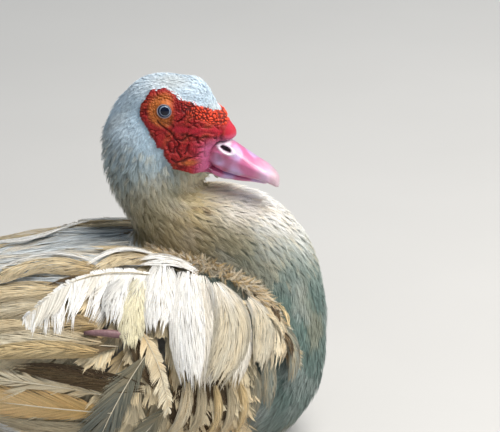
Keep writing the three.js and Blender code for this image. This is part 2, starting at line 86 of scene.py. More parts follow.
# %% Hang the lights
# Name, azimuth and elevation in degrees, distance and size in metres, power in watts, and colour.
LIGHTS = [
    ("key", 56, 64, 2.2, 1.4, 67, (1.0, 0.97, 0.92)),
    ("side", 95, 26, 2.4, 1.4, 22, (1.0, 0.97, 0.93)),
    ("fill", -30, 20, 2.6, 2.2, 3, (0.80, 0.90, 1.0)),
    ("back", 165, 45, 2.4, 1.6, 9, (0.88, 0.95, 1.0)),
]
for name, azimuth, elevation, distance, size, power, colour in LIGHTS:
    bpy.ops.object.light_add(type="AREA")
    lamp = bpy.context.object
    lamp.name = name
    lamp.data.size = size
    lamp.data.energy = power
    lamp.data.color = colour
    lamp.location = direction(math.radians(azimuth), math.radians(elevation)) * distance
    lamp.rotation_euler = (-lamp.location).to_track_quat("-Z", "Y").to_euler()
world = bpy.data.worlds.new("studio")
world.use_nodes = True
world.node_tree.nodes["Background"].inputs["Color"].default_value = (0.78, 0.90, 1.0, 1)
world.node_tree.nodes["Background"].inputs["Strength"].default_value = 0.21
bpy.context.scene.world = world
bpy.context.scene.view_settings.view_transform = "Standard"
print("lights:", len(LIGHTS))

# %% [markdown]
# ## Tools for materials
#
# A shader's sockets are wrapped so that they can be added and multiplied as numbers are.


# %% Wrap the shader's sockets
class Socket:
    """One output of a shader graph, which works in sums."""

    def __init__(self, graph, output):
        self.graph = graph
        self.output = output

    def maths(self, operation, *values):
        return self.graph.make("ShaderNodeMath", {"operation": operation}, dict(enumerate(values)))

    def __add__(self, other):
        return self.maths("ADD", self, other)

    def __radd__(self, other):
        return self.maths("ADD", other, self)

    def __sub__(self, other):
        return self.maths("SUBTRACT", self, other)

    def __rsub__(self, other):
        return self.maths("SUBTRACT", other, self)

    def __mul__(self, other):
        return self.maths("MULTIPLY", self, other)

    def __rmul__(self, other):
        return self.maths("MULTIPLY", other, self)


class Graph:
    """A new material and its shader graph."""

    def __init__(self, name):
        self.material = bpy.data.materials.new(name)
        self.material.use_nodes = True
        self.tree = self.material.node_tree
        self.shader = self.tree.nodes["Principled BSDF"]

    def connect(self, socket, value):
        if isinstance(value, Socket):
            self.tree.links.new(value.output, socket)
        elif hasattr(value, "__len__") and len(value) == 3 and socket.type == "RGBA":
            socket.default_value = (*value, 1)
        else:
            socket.default_value = value

    def make(self, kind, settings=None, inputs=None, output=0):
        """Adds a node: its type, then its settings, then what goes into it."""
        node = self.tree.nodes.new(kind)
        for key, value in (settings or {}).items():
            setattr(node, key, value)
        for key, value in (inputs or {}).items():
            self.connect(node.inputs[key], value)
        return Socket(self, node.outputs[output])

    def attribute(self, name, output="Color"):
        return self.make("ShaderNodeAttribute", {"attribute_name": name}, output=output)

    def place(self):
        return self.make("ShaderNodeTexCoord", output="Object")

    def noise(self, scale, detail=2.0):
        inputs = {"Vector": self.place(), "Scale": scale, "Detail": detail}
        return self.make("ShaderNodeTexNoise", {}, inputs)

    def cells(self, scale):
        return self.make("ShaderNodeTexVoronoi", {}, {"Vector": self.place(), "Scale": scale})

    def tinted(self, colour, factor):
        """A colour made darker or lighter by a number."""
        grey = self.make("ShaderNodeCombineColor", {}, {0: factor, 1: factor, 2: factor})
        inputs = {0: colour, 1: grey}
        return self.make("ShaderNodeVectorMath", {"operation": "MULTIPLY"}, inputs)

    def bump(self, height, distance):
        return self.make("ShaderNodeBump", {}, {"Height": height, "Distance": distance, "Strength": 1.0})

    def finish(self, **inputs):
        """Sets the surface's own inputs, with _ for a space, and gives back the material."""
        for key, value in inputs.items():
            self.connect(self.shader.inputs[key.replace("_", " ")], value)
        return self.material


# %% [markdown]
# ## Tools for meshes
#
# Blender hands over all the points of a mesh as one array. Numpy bends, smooths and measures such an array
# much faster than a loop over the points could.


# %% Read, write and soften meshes
def select_only(*objects):
    bpy.ops.object.select_all(action="DESELECT")
    for each in objects:
        each.select_set(True)
    bpy.context.view_layer.objects.active = objects[0]


def read(values, key, columns, kind):
    """One property of all the points, edges or triangles, as an array with some columns."""
    flat = np.empty(len(values) * columns, kind)
    values.foreach_get(key, flat)
    return flat.reshape(-1, columns)


def points_of(piece):
    return read(piece.data.vertices, "co", 3, np.float32).astype(float)


def normals_of(piece):
    return read(piece.data.vertex_normals, "vector", 3, np.float32).astype(float)


def move_points(piece, points):
    piece.data.vertices.foreach_set("co", points.astype(np.float32).ravel())
    piece.data.update()


def edges_of(piece):
    return read(piece.data.edges, "vertices", 2, np.int32)


def triangles_of(piece):
    piece.data.calc_loop_triangles()
    return read(piece.data.loop_triangles, "vertices", 3, np.int32)


def tree_of(piece):
    return BVHTree.FromPolygons(points_of(piece).tolist(), triangles_of(piece).tolist())


def distance_to(tree, points, limit):
    """How far each point is from a surface, up to a limit."""
    found = (tree.find_nearest(point, limit)[3] for point in points.tolist())
    return np.array([limit if d is None else d for d in found])


def smoothstep(low, high, value):
    s = np.clip((value - low) / (high - low), 0, 1)
    return s * s * (3 - 2 * s)


def unit(vectors):
    length = np.linalg.norm(vectors, axis=-1, keepdims=True)
    return vectors / np.maximum(length, 1e-9)


def relax(piece, rounds, amount=0.5):
    """Smooths a mesh: each round moves the points by an amount, or one each, to their neighbours' mean."""
    points = points_of(piece)
    first, second = edges_of(piece).T
    count = len(points)
    degree = np.bincount(first, minlength=count) + np.bincount(second, minlength=count)
    degree = np.maximum(degree, 1)
    for _ in range(rounds):
        for axis in range(3):
            value = points[:, axis]
            total = np.bincount(first, value[second], count) + np.bincount(second, value[first], count)
            points[:, axis] += amount * (total / degree - value)
    move_points(piece, points)


def edit_all(piece, operator, **settings):
    """Runs one operator of edit mode on the whole of a mesh."""
    select_only(piece)
    bpy.ops.object.mode_set(mode="EDIT")
    bpy.ops.mesh.select_all(action="SELECT")
    operator(**settings)
    bpy.ops.object.mode_set(mode="OBJECT")


def apply_modifier(piece, kind, **settings):
    select_only(piece)
    modifier = piece.modifiers.new(kind.lower(), kind)
    for key, value in settings.items():
        setattr(modifier, key, value)
    bpy.ops.object.modifier_apply(modifier=modifier.name)


def soft_copy(name, nodes, voxel, rounds, grow=0.0004):
    """One smooth closed body in the place of some solids, which are copied, grown together and remeshed."""
    copies = []
    for node in nodes:
        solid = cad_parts[node]
        copy = bpy.data.objects.new(node + "_copy", solid.data.copy())
        bpy.context.scene.collection.objects.link(copy)
        copies.append(copy)
    for copy in copies:
        edit_all(copy, bpy.ops.mesh.remove_doubles, threshold=0.01 * MM)
    select_only(*copies)
    bpy.ops.object.join()
    piece = bpy.context.object
    piece.name = name
    piece.data.materials.clear()
    apply_modifier(piece, "DISPLACE", strength=grow, mid_level=0)
    apply_modifier(piece, "REMESH", mode="VOXEL", voxel_size=voxel, use_smooth_shade=True)
    relax(piece, rounds)
    return piece


def paint(piece, name, colours):
    """Stores one colour for each point."""
    layer = piece.data.color_attributes.new(name, "FLOAT_COLOR", "POINT")
    rgba = np.ones((len(colours), 4), np.float32)
    rgba[:, :3] = colours
    layer.data.foreach_set("color", rgba.ravel())


def mark(piece, name, values):
    """Stores one number for each point."""
    layer = piece.data.attributes.new(name, "FLOAT", "POINT")
    layer.data.foreach_set("value", values.astype(np.float32))


def marked(piece, name):
    """The numbers that mark() stored."""
    return read(piece.data.attributes[name].data, "value", 1, np.float32)[:, 0].astype(float)


def dress(piece, material, slot, *replaced):
    """Gives a finished piece its material, its place on the body and the solids it stands for."""
    piece.data.materials.clear()
    piece.data.materials.append(material)
    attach(piece, "root")
    if replaced:
        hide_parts(*replaced)
    print(piece.name, len(piece.data.vertices), "points", len(piece.data.polygons), "faces")


# %% [markdown]
# ## The head's own frame
#
# The head turns to the duck's right, so its parts are placed in a frame of its own: millimetres forward,
# left and up from the point between the eyes.


# %% Find the head's frame
def middle_of(node):
    low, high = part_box(node)
    return (np.array(low) + np.array(high)) / 2


EYES = (middle_of("eye_right") + middle_of("eye_left")) / 2
HEAD_LEFT = unit(middle_of("eye_left") - middle_of("eye_right"))
HEAD_UP = np.array([0.0, 0.0, 1.0])
HEAD_FORWARD = np.cross(HEAD_LEFT, HEAD_UP)
HEAD_AXES = np.stack([HEAD_FORWARD, HEAD_LEFT, HEAD_UP], axis=1)
EYE_RADIUS = (np.array(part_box("eye_right")[1]) - np.array(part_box("eye_right")[0])).min() / 2


def head_mm(points):
    return (points - EYES) @ HEAD_AXES / MM


def from_head(rows):
    return EYES + np.asarray(rows, float) @ HEAD_AXES.T * MM


print("between the eyes:", EYES.round(4), "eye radius:", round(EYE_RADIUS, 4))

# %% [markdown]
# ## The body's line
#
# The lie of the coat, its colours and its unwrap all follow one line, from the tail through the trunk and
# the neck to the bill. Each row is X, Z and the body's radius there, in millimetres.

# %% Draw the line from tail to bill
BODY_LINE = [
    [-300, 108, 14],
    [-210, 108, 30],
    [-130, 98, 62],
    [-40, 86, 82],
    [50, 76, 78],
    [92, 96, 60],
    [98, 140, 44],
    [66, 174, 40],
    [30, 186, 32],
    [6, 214, 27],
    [8, 252, 26],
    [30, 266, 24],
    [62, 248, 16],
    [104, 220, 8],
]
LINE_STEPS = 120
LINE_BLEND = 9 * MM


def along_rows(rows, count):
    """Points evenly spread along a smooth curve through the rows."""
    rows = np.asarray(rows, float)
    ends = np.vstack([2 * rows[0] - rows[1], rows, 2 * rows[-1] - rows[-2]])
    out = []
    for s in np.linspace(0, len(rows) - 1, count):
        k = min(int(s), len(rows) - 2)
        f = s - k
        a, b, c, d = ends[k : k + 4]
        curve = 2 * b + (c - a) * f + (2 * a - 5 * b + 4 * c - d) * f**2 + (3 * b - a - 3 * c + d) * f**3
        out.append(curve / 2)
    return np.array(out)


line = along_rows(BODY_LINE, LINE_STEPS) * MM
line_points = np.stack([line[:, 0], np.zeros(LINE_STEPS), line[:, 1]], axis=1)
line_radii = line[:, 2]
turned = smoothstep(line_points[:, 2].argmax() - 8, LINE_STEPS, np.arange(LINE_STEPS))
line_points[:, 1] += (line_points - EYES)[:, 0] * HEAD_FORWARD[1] * turned
line_tangents = unit(np.gradient(line_points, axis=0))
line_length = np.concatenate([[0], np.cumsum(np.linalg.norm(np.diff(line_points, axis=0), axis=1))])
line_place = line_length / line_length[-1]


def near_line(points):
    """How much each point belongs to each step of the line: the nearer to its tube, the more."""
    out = []
    for block in np.array_split(points, max(1, len(points) // 20000)):
        gap = np.linalg.norm(block[:, None] - line_points, axis=2) - line_radii
        gap -= gap.min(axis=1, keepdims=True)
        weight = np.exp(-((gap / LINE_BLEND) ** 2))
        out.append(weight / weight.sum(axis=1, keepdims=True))
    return np.concatenate(out)


def place_on_line(points):
    """0 at the tail's tip, 1 at the bill's."""
    return near_line(points) @ line_place


def lie_of_coat(points, normals):
    """The direction that feathers point in: down the line towards the tail, flat on the skin."""
    flow = -(near_line(points) @ line_tangents)
    flow += np.array([0, 0, -0.25])
    flow -= (flow * normals).sum(axis=1, keepdims=True) * normals
    return unit(flow)


def unwrap(points):
    """Where each point lies on the skin laid out flat: round the body's line, and along it."""
    weight = near_line(points)
    along = weight @ line_place
    out = points - weight @ line_points
    tangent = unit(weight @ line_tangents)
    upward = np.cross(tangent, np.array([0.0, 1.0, 0.0]))
    angle = np.arctan2(out[:, 1], (out * upward).sum(axis=1))
    return np.stack([0.5 + angle / (2 * math.pi), along], axis=1) * 0.98 + 0.01


print("line:", round(line_length[-1], 3), "m")

# %% [markdown]
# ## Colours
#
# A white duck is never one white. Its coat is blue-white on the crown and back and cream to tan where it is
# stained. Its sides and underside are painted darker than its top as painted shade, and the grey-green low on
# the breast is partly a stain and partly painted shade. One function of place gives the colours of skin and
# coat alike.

# %% Name the colours
WHITE = np.array([0.86, 0.85, 0.83])
BLUE_WHITE = np.array([0.80, 0.88, 0.94])
CREAM = np.array([0.80, 0.70, 0.50])
PALE_YELLOW = np.array([0.88, 0.80, 0.52])
GOLD = np.array([0.62, 0.42, 0.18])
TAN = np.array([0.52, 0.40, 0.23])
OLIVE = np.array([0.34, 0.32, 0.21])
GREY_GREEN = np.array([0.36, 0.43, 0.41])
BROWN = np.array([0.10, 0.06, 0.03])


def blend(first, second, amount):
    amount = np.asarray(amount, float)[..., None]
    return first * (1 - amount) + second * amount


def waves(points, size, seed):
    """Smooth blotches between about -1 and 1, some size across in millimetres."""
    rng = np.random.default_rng(seed)
    total = np.zeros(len(points))
    for _ in range(7):
        push = unit(rng.normal(size=3)) * 2 * math.pi / (size * MM * rng.uniform(0.8, 1.6))
        total += np.sin(points @ push + rng.uniform(0, 2 * math.pi))
    return total / 3


# Place on the line, and the coat's colour there on the underside, the sides and the top. The side and
# underside rows are darker than the top row, partly stains and partly painted shade.
COAT_PLACES = [0.0, 0.25, 0.42, 0.52, 0.58, 0.63, 0.68, 0.72, 0.77, 0.81, 0.85, 1.0]
ICE = np.array([0.76, 0.88, 0.98])
FROST = np.array([0.57, 0.75, 0.90])
# The breast's grey-green: partly its stain and partly painted shade, as dark as the shaded breast.
SHADED_MOSS = np.array([0.135, 0.205, 0.185])
PALE_MOSS = np.array([0.34, 0.40, 0.36])
STAIN = np.array([0.40, 0.30, 0.15])
HONEY = np.array([0.60, 0.48, 0.25])
DUN = np.array([0.31, 0.29, 0.195])
HAZE = np.array([0.44, 0.52, 0.53])
CHIN = np.array([17.0, 0.0, -56.0])
LIT_CHIN_CREAM = np.array([0.76, 0.70, 0.54])
COAT_COLOURS = {
    "under": [WHITE, CREAM, DUN, SHADED_MOSS, SHADED_MOSS, STAIN, STAIN, STAIN, STAIN, DUN, FROST, WHITE],
    "side": [WHITE, WHITE, WHITE, SHADED_MOSS, SHADED_MOSS, PALE_MOSS, DUN, STAIN, DUN, HAZE, FROST, WHITE],
    "top": [WHITE, WHITE, BLUE_WHITE, SHADED_MOSS, PALE_MOSS, WHITE, WHITE, HONEY, DUN, FROST, ICE, ICE],
}


def coat_colour(points, normals):
    """The colour of the coat at a place on the body, with painted shade on its sides and underside."""
    place = place_on_line(points)
    bands = {}
    for name, row in COAT_COLOURS.items():
        table = np.array(row)
        bands[name] = np.stack([np.interp(place, COAT_PLACES, table[:, k]) for k in range(3)], axis=1)
    # Painted shade: the sides and underside take darker colours than the top, by which way the skin faces.
    facing = normals[:, 2]
    colour = blend(bands["side"], bands["top"], smoothstep(0.2, 0.8, facing))
    colour = blend(colour, bands["under"], smoothstep(-0.2, -0.8, facing))
    colour = blend(colour, TAN, 0.26 * smoothstep(0.1, 1.0, waves(points, 34, 3)))
    colour = blend(colour, WHITE, 0.16 * smoothstep(0.1, 1.0, waves(points, 27, 5)))
    q = head_mm(points)
    chin = smoothstep(15, 7, np.linalg.norm((q - CHIN) * [0.8, 0.6, 1], axis=1))
    # The throat under the chin is painted pale cream: partly its own colour, partly painted light on skin
    # that faces down.
    colour = blend(colour, LIT_CHIN_CREAM, 0.8 * chin)
    return colour * (1 + 0.05 * waves(points, 9, 8))[:, None]


# %% [markdown]
# ## The skin
#
# The flesh solids grow together into one skin. The bill's base and the eyes are part of it for the moment,
# so that it runs on under them. It is smoothed, then drawn in by the coat's depth, which is nothing on the
# bare face.

# %% Grow the flesh together
FLESH = ["trunk", "neck_lower", "neck_upper", "head", "face_skin_right", "face_skin_left"]
SKIN_VOXEL = 1.3 * MM

skin = soft_copy("skin", FLESH + ["eye_right", "eye_left", "bill_upper", "bill_lower"], SKIN_VOXEL, 8)
face_tree = tree_of(soft_copy("face_guide", ["face_skin_right", "face_skin_left"], 0.8 * MM, 0))
head_tree = tree_of(soft_copy("head_guide", ["head", "face_skin_right", "face_skin_left"], 2 * MM, 0))
bill_tree = tree_of(soft_copy("bill_guide", ["bill_upper", "bill_lower"], 0.8 * MM, 0))
for name in ("face_guide", "head_guide", "bill_guide"):
    bpy.data.objects.remove(bpy.data.objects[name])
print("skin:", len(skin.data.vertices), "points")

# %% Smooth the skin and draw it in
skin_points = points_of(skin)
from_head_solid = distance_to(head_tree, skin_points, 40 * MM)
BODY_ROUNDS = 90
relax(skin, BODY_ROUNDS, 0.6 * smoothstep(2 * MM, 34 * MM, from_head_solid))

# Place on the line, and the coat's depth there in millimetres.
DEPTH_PLACES = [0.0, 0.2, 0.5, 0.7, 0.78, 0.84, 0.9, 1.0]
DEPTHS = [4.0, 6.0, 6.0, 5.0, 3.5, 2.6, 1.6, 1.0]


# The bare face's outline on the side of the head: forward and up from between the eyes, in millimetres.
MASK = [
    (-20, -1), (-16.3, 6.4), (-11.4, 13.0), (-5, 15.2), (2, 14.8), (8, 12.2),
    (14, 7.6), (23, 3.6), (31, -0.6), (36.3, -3.0), (60, -8), (60, -56),
    (21.6, -52), (14.5, -50), (7.3, -46), (2.6, -38.5), (-1.4, -30.5), (-6.8, -22.5),
    (-11.3, -15), (-17.6, -5.3),
]
EDGE_MARGIN = 1.6


def distance_to_path(flat, path):
    """How far each place is from a path, both in the plane of the head's side."""
    best = np.full(len(flat), 99.0)
    for a, b in zip(np.array(path[:-1], float), np.array(path[1:], float)):
        t = np.clip(((flat - a) @ (b - a)) / ((b - a) @ (b - a)), 0, 1)
        best = np.minimum(best, np.linalg.norm(flat - a - t[:, None] * (b - a), axis=1))
    return best


def outside_mask(flat):
    """How far each place lies outside the face's outline: less than 0 within it."""
    closed = MASK + MASK[:1]
    within = np.zeros(len(flat), bool)
    for a, b in zip(closed[:-1], closed[1:]):
        spans = (a[1] > flat[:, 1]) != (b[1] > flat[:, 1])
        within ^= spans & (flat[:, 0] < a[0] + (b[0] - a[0]) * (flat[:, 1] - a[1]) / (b[1] - a[1]))
    return distance_to_path(flat, closed) * np.where(within, -1, 1)


def bare_share(points):
    """1 on the bare face and in the eyes, falling to 0 just outside it along a wavering edge."""
    outside = (outside_mask(head_mm(points)[:, [0, 2]]) + EDGE_MARGIN) * MM
    edge = np.maximum(distance_to(face_tree, points, 5 * MM), outside) + 0.8 * MM * waves(points, 6, 61)
    eye = np.abs(np.linalg.norm((points - EYES) @ HEAD_AXES[:, [0, 2]], axis=1))
    near_eye = smoothstep(9 * MM, 8 * MM, eye) * (np.abs((points - EYES) @ HEAD_LEFT) > 10 * MM)
    return np.maximum(smoothstep(2.4 * MM, 0.9 * MM, edge), near_eye)


# Where the skin begins to dip under the bill: the height, and how far forward.
BILL_BASE = [[-56, -47, -38, -30, -25, -22], [24, 27, 28.5, 31, 36, 46]]


# The bill's lowest line: forward, and up.
BILL_BOTTOM = [[28, 50, 80], [-61, -65, -67]]


def past_base(q):
    """How far past the bill's base each place is, in millimetres: -99 for places not within the bill."""
    base = np.interp(q[:, 2], *BILL_BASE)
    reached = (abs(q[:, 1]) < 16) & (q[:, 2] > np.interp(q[:, 0], *BILL_BOTTOM))
    return np.where(reached & (q[:, 2] < -33), q[:, 0] - base, -99)


def bill_share(points):
    """1 where the bill covers the skin."""
    near = smoothstep(2.6 * MM, 0.8 * MM, distance_to(bill_tree, points, 4 * MM))
    q = head_mm(points)
    base = np.interp(q[:, 2], *BILL_BASE)
    return np.maximum(near * smoothstep(base, base + 7, q[:, 0]), smoothstep(8, 10, past_base(q)))


IN_BILL = 4.5
# The skin inside the bill ends in a blunt plug this far beyond its base.
PLUG = 10
skin_points = points_of(skin)
bare = bare_share(skin_points)
in_bill = bill_share(skin_points)
mark(skin, "Bare", bare)
mark(skin, "InBill", in_bill)
depth = np.interp(place_on_line(skin_points), DEPTH_PLACES, DEPTHS) * (1 - bare)
depth = np.maximum(depth, IN_BILL * in_bill**1.5)
skin_points -= normals_of(skin) * depth[:, None] * MM
q = head_mm(skin_points)
beyond = np.maximum(past_base(q) - PLUG, 0)
q[:, 0] -= 0.9 * beyond
move_points(skin, from_head(q))
relax(skin, 3)
print("skin drawn in by up to", round(depth.max(), 1), "mm")

# %% Thin out the skin that the coat hides
THIN_FROM_HEAD = 8 * MM
THIN_TO = 0.30


def thin_out(piece, hidden, ratio):
    """Collapses the edges among the chosen points, until a share of the piece's triangles is left."""
    group = piece.vertex_groups.new(name="hidden")
    group.add(np.flatnonzero(hidden).tolist(), 1.0, "REPLACE")
    apply_modifier(piece, "DECIMATE", ratio=ratio, vertex_group="hidden", vertex_group_factor=1.0)
    piece.vertex_groups.clear()


thin_out(skin, distance_to(head_tree, points_of(skin), 20 * MM) > THIN_FROM_HEAD, THIN_TO)
print("skin thinned out:", len(skin.data.polygons), "faces")

# %% Divide the face finely
BARE_FOR_DETAIL = 0.02


def divide_where(piece, chosen):
    """Splits the faces whose points are all chosen."""
    piece.data.vertices.foreach_set("select", chosen)
    piece.data.edges.foreach_set("select", chosen[edges_of(piece)].all(axis=1))
    faces = [chosen[list(face.vertices)].all() for face in piece.data.polygons]
    piece.data.polygons.foreach_set("select", faces)
    select_only(piece)
    bpy.ops.object.mode_set(mode="EDIT")
    bpy.ops.mesh.select_mode(type="FACE")
    bpy.ops.mesh.subdivide(number_cuts=1)
    bpy.ops.object.mode_set(mode="OBJECT")


for _ in range(2):
    divide_where(skin, marked(skin, "Bare") > BARE_FOR_DETAIL)
relax(skin, 4, marked(skin, "Bare"))
print("skin with a fine face:", len(skin.data.vertices), "points")

# %% [markdown]
# ## The bare face
#
# The red skin is a net of folds. Deep creases run from the cheek to above the nostril and round the corner
# of the mouth, small cells fill the space between them, and round beads crowd the front between forehead
# and knob.

# %% Lay out the folds
# Each crease runs through a few places, forward and up from between the eyes in millimetres.
CREASES = [
    [(7.6, -21.7), (12, -23), (16.6, -21.4), (20.7, -19.2), (25, -18.2), (31, -18.6), (36, -19.4)],
    [(7.6, -21.7), (9.8, -25.7), (9.4, -31.3), (11.2, -36.5)],
    [(5.2, -38.3), (8.8, -40.4), (14.2, -39.3), (19.6, -37.4), (24.4, -35.1), (28.4, -35.1), (29.7, -38.6)],
    [(14.2, -34.7), (16.1, -29.7), (18.5, -26.4)],
    [(2.7, -25.4), (2.2, -29.7), (6.4, -32.5), (7.9, -28.2)],
    [(-5.1, -8.5), (-1, -12.4), (4, -15.8), (7.6, -21.7)],
    [(16.8, -12.8), (16.6, -20.7)],
    [(9, -8.4), (15.1, -4.8), (18.6, 1.3)],
    [(21.5, -7), (29.2, -7.8), (32.8, -11)],
    [(23.4, -20.9), (23.9, -25.9)],
]
CREASE_HALF = 0.75
CREASE_DEPTH = 1.1
LIP = 0.45
CELL = 5.2
BEAD = 2.5
# The lower edge of the beads: forward, and up.
BEAD_EDGE = [[5, 17, 22, 30, 36, 44], [2, -5, -8, -12, -14, -16]]
KNOB = np.array([44.0, 0.0, -22.0])
KNOB_RADIUS = 9.0
# A smooth fold runs forward to the knob, with a deep crease under it.
BROW_FOLD = [(9, -14), (16, -15.5), (22, -17), (28, -17.4), (34, -17.2), (40, -19.5)]
FOLD_CREASE = [(13, -19.5), (20, -21.3), (27, -22), (33, -21.8), (37, -24)]


def cells_near(places, size, seed, stretch=(1, 1, 1)):
    """The distances to the nearest and the next cell's middle, in a jittered grid of cells, by their size."""
    rng = np.random.default_rng(seed)
    scaled = places / size * np.array(stretch)
    base = np.floor(scaled).astype(int)
    low = base.min(axis=0) - 1
    span = base.max(axis=0) - low + 3
    jitter = rng.uniform(0.1, 0.9, (*span, 3))
    near = np.full((len(places), 2), 9.0)
    for step in np.ndindex(3, 3, 3):
        cell = base + np.array(step) - 1
        index = tuple((cell - low).T)
        gap = np.linalg.norm(cell + jitter[index] - scaled, axis=1)
        near[:, 1] = np.minimum(near[:, 1], np.maximum(near[:, 0], gap))
        near[:, 0] = np.minimum(near[:, 0], gap)
    return near


def face_zones(q):
    """The zones of the face: creases, beads, the knob's smooth lobe and the rings round the eye."""
    flat = q[:, [0, 2]]
    wander = flat + 0.7 * np.stack([waves(q * MM, 7, 21), waves(q * MM, 7, 22)], axis=1)
    crease = np.min([distance_to_path(wander, path) for path in CREASES], axis=0)
    from_eye = np.linalg.norm(flat, axis=1)
    above = q[:, 2] - np.interp(q[:, 0], *BEAD_EDGE)
    beads = smoothstep(0, 2.5, above) * smoothstep(9, 13, from_eye) * smoothstep(6, 14, q[:, 0])
    knob = np.linalg.norm((q - KNOB) * [0.9, 1, 1], axis=1) / KNOB_RADIUS
    fold = distance_to_path(wander, BROW_FOLD)
    smooth = np.maximum(smoothstep(1.15, 0.9, knob), 0.75 * smoothstep(3.6, 1.2, fold))
    beads *= 1 - smooth
    return crease, from_eye, beads, smooth, knob, fold, distance_to_path(wander, FOLD_CREASE)


def base_share(q):
    """0 on the face, rising to 1 where the skin meets the bill."""
    before = q[:, 0] - np.interp(q[:, 2], *BILL_BASE)
    return smoothstep(-8, 1, before) * smoothstep(-24, -30, q[:, 2])


EYE_OPENING = 5.2
LID_RADIUS = 1000 * EYE_RADIUS + 0.75


def face_relief(q):
    """How far each point stands out of the smooth skin, in millimetres, and how much painted shade it gets in
    the creases, the cell gaps, between the beads and under the knob and the fold.
    """
    crease, from_eye, beads, smooth, knob, fold, under_fold = face_zones(q)
    bent = q + 1.1 * np.stack([waves(q * MM, 8, seed) for seed in (37, 38, 39)], axis=1)
    cells = cells_near(bent, CELL, 31, (0.7, 1, 1.1))
    cell_gap = 1 - smoothstep(0, 0.30, cells[:, 1] - cells[:, 0])
    cell_gap *= smoothstep(-0.9, 0.7, waves(q * MM, 11, 36))
    fine = cells_near(q, 2.4, 33)
    fine_gap = 1 - smoothstep(0, 0.3, fine[:, 1] - fine[:, 0])
    bead = cells_near(bent, BEAD, 35)
    bead_top = np.sqrt(np.clip(1 - (bead[:, 0] / 0.66) ** 2, 0, 1))
    bead_top *= smoothstep(0, 0.35, bead[:, 1] - bead[:, 0])
    deep = np.exp(-((crease / CREASE_HALF) ** 2))
    lip = np.exp(-(((crease - 2.3) / 1.3) ** 2))
    rough = (1 - smooth) * (1 - beads)
    near_eye = smoothstep(12, 8.5, from_eye)
    height = rough * (LIP * lip - CREASE_DEPTH * deep)
    height += rough * (1 - 0.6 * near_eye) * (0.45 - 1.0 * cell_gap * (1 - deep))
    height -= rough * (0.22 + 0.3 * smoothstep(-14, -8, q[:, 2])) * fine_gap
    height += beads * (1.15 * bead_top - 0.4)
    height += 0.5 * np.exp(-((fold / 3.2) ** 2)) + 1.5 * np.exp(-((knob / 0.75) ** 2))
    height -= 1.2 * np.exp(-(((knob - 1.22) / 0.13) ** 2))
    broken = smoothstep(-0.7, 0.5, waves(q * MM, 6, 57))
    height -= 0.9 * broken * np.exp(-((under_fold / 1.1) ** 2))
    height += near_eye * 0.22 * np.cos(from_eye * 2 * math.pi / 1.9)
    # Painted shade: dark marks the creases, the cell gaps, the fine gaps and the hollows between the beads.
    dark = np.maximum.reduce([deep * rough, 0.5 * cell_gap * rough, 0.25 * fine_gap * rough])
    dark = np.maximum(dark, beads * (1 - smoothstep(0.1, 0.65, bead_top)))
    at_bill = base_share(q)
    height = height * (1 - 0.7 * at_bill) - 0.7 * at_bill
    dark *= 1 - 0.75 * at_bill
    # Painted shadow under the knob's lobe and in the broken crease under the brow fold.
    under_knob = np.exp(-(((knob - 1.24) / 0.1) ** 2)) * smoothstep(-19, -25, q[:, 2])
    dark = np.maximum(dark, 0.7 * under_knob)
    dark = np.maximum(dark, 0.75 * broken * np.exp(-((under_fold / 1.3) ** 2)))
    return height, dark


# %% Model the folds and lids
points = points_of(skin)
bare = marked(skin, "Bare")
chosen = bare > BARE_FOR_DETAIL
q = head_mm(points)
height = np.zeros(len(points))
dark = np.zeros(len(points))
height[chosen], dark[chosen] = face_relief(q[chosen])
points += normals_of(skin) * (height * bare * MM)[:, None]

# The lids wrap the eyeball: the skin rises onto a ball a little larger than it, and dips inside the opening.
q = head_mm(points)
sides = np.sign(q[:, 1])
from_eye = np.hypot(q[:, 0], q[:, 2])
eye_out = abs(head_mm(middle_of("eye_left")[None])[0, 1])
lid = eye_out + np.sqrt(np.maximum(LID_RADIUS**2 - from_eye**2, 0))
lid += 0.35 * np.exp(-(((from_eye - EYE_OPENING - 0.7) / 0.55) ** 2))
wrap = smoothstep(8.2, 6.4, from_eye) * (abs(q[:, 1]) > 12)
out = abs(q[:, 1])
out = out * (1 - wrap) + np.maximum(out, lid) * wrap
inside = smoothstep(EYE_OPENING + 0.25, EYE_OPENING - 0.45, from_eye) * (abs(q[:, 1]) > 12)
out = out * (1 - inside) + (eye_out - 1) * inside
q[:, 1] = sides * out
move_points(skin, from_head(q))
print("face points:", int(chosen.sum()))

# %% [markdown]
# ## The skin's colours
#
# Bare skin is red where blood shows through it. Its creases and gaps are painted dark maroon as painted
# shade, the beads are painted brightest, partly their own red and partly painted light, and it is palest
# towards the bill. The colours use the same zones as the folds, so the two always agree.

# %% Colour the skin
RED = np.array([0.34, 0.014, 0.015])
# The beads' bright red: partly their own brighter red, partly painted light on the lit front of the face.
LIT_BEAD_RED = np.array([0.80, 0.070, 0.025])
CRIMSON = np.array([0.50, 0.014, 0.040])
ROSE = np.array([0.46, 0.045, 0.09])
BLUSH = np.array([0.52, 0.10, 0.19])
PINK = np.array([0.56, 0.14, 0.30])
ORANGE = np.array([0.56, 0.17, 0.035])
# The dark maroon of the painted shade in the creases.
SHADE_MAROON = np.array([0.055, 0.004, 0.006])
GAPE = np.array([18.0, -41.0])


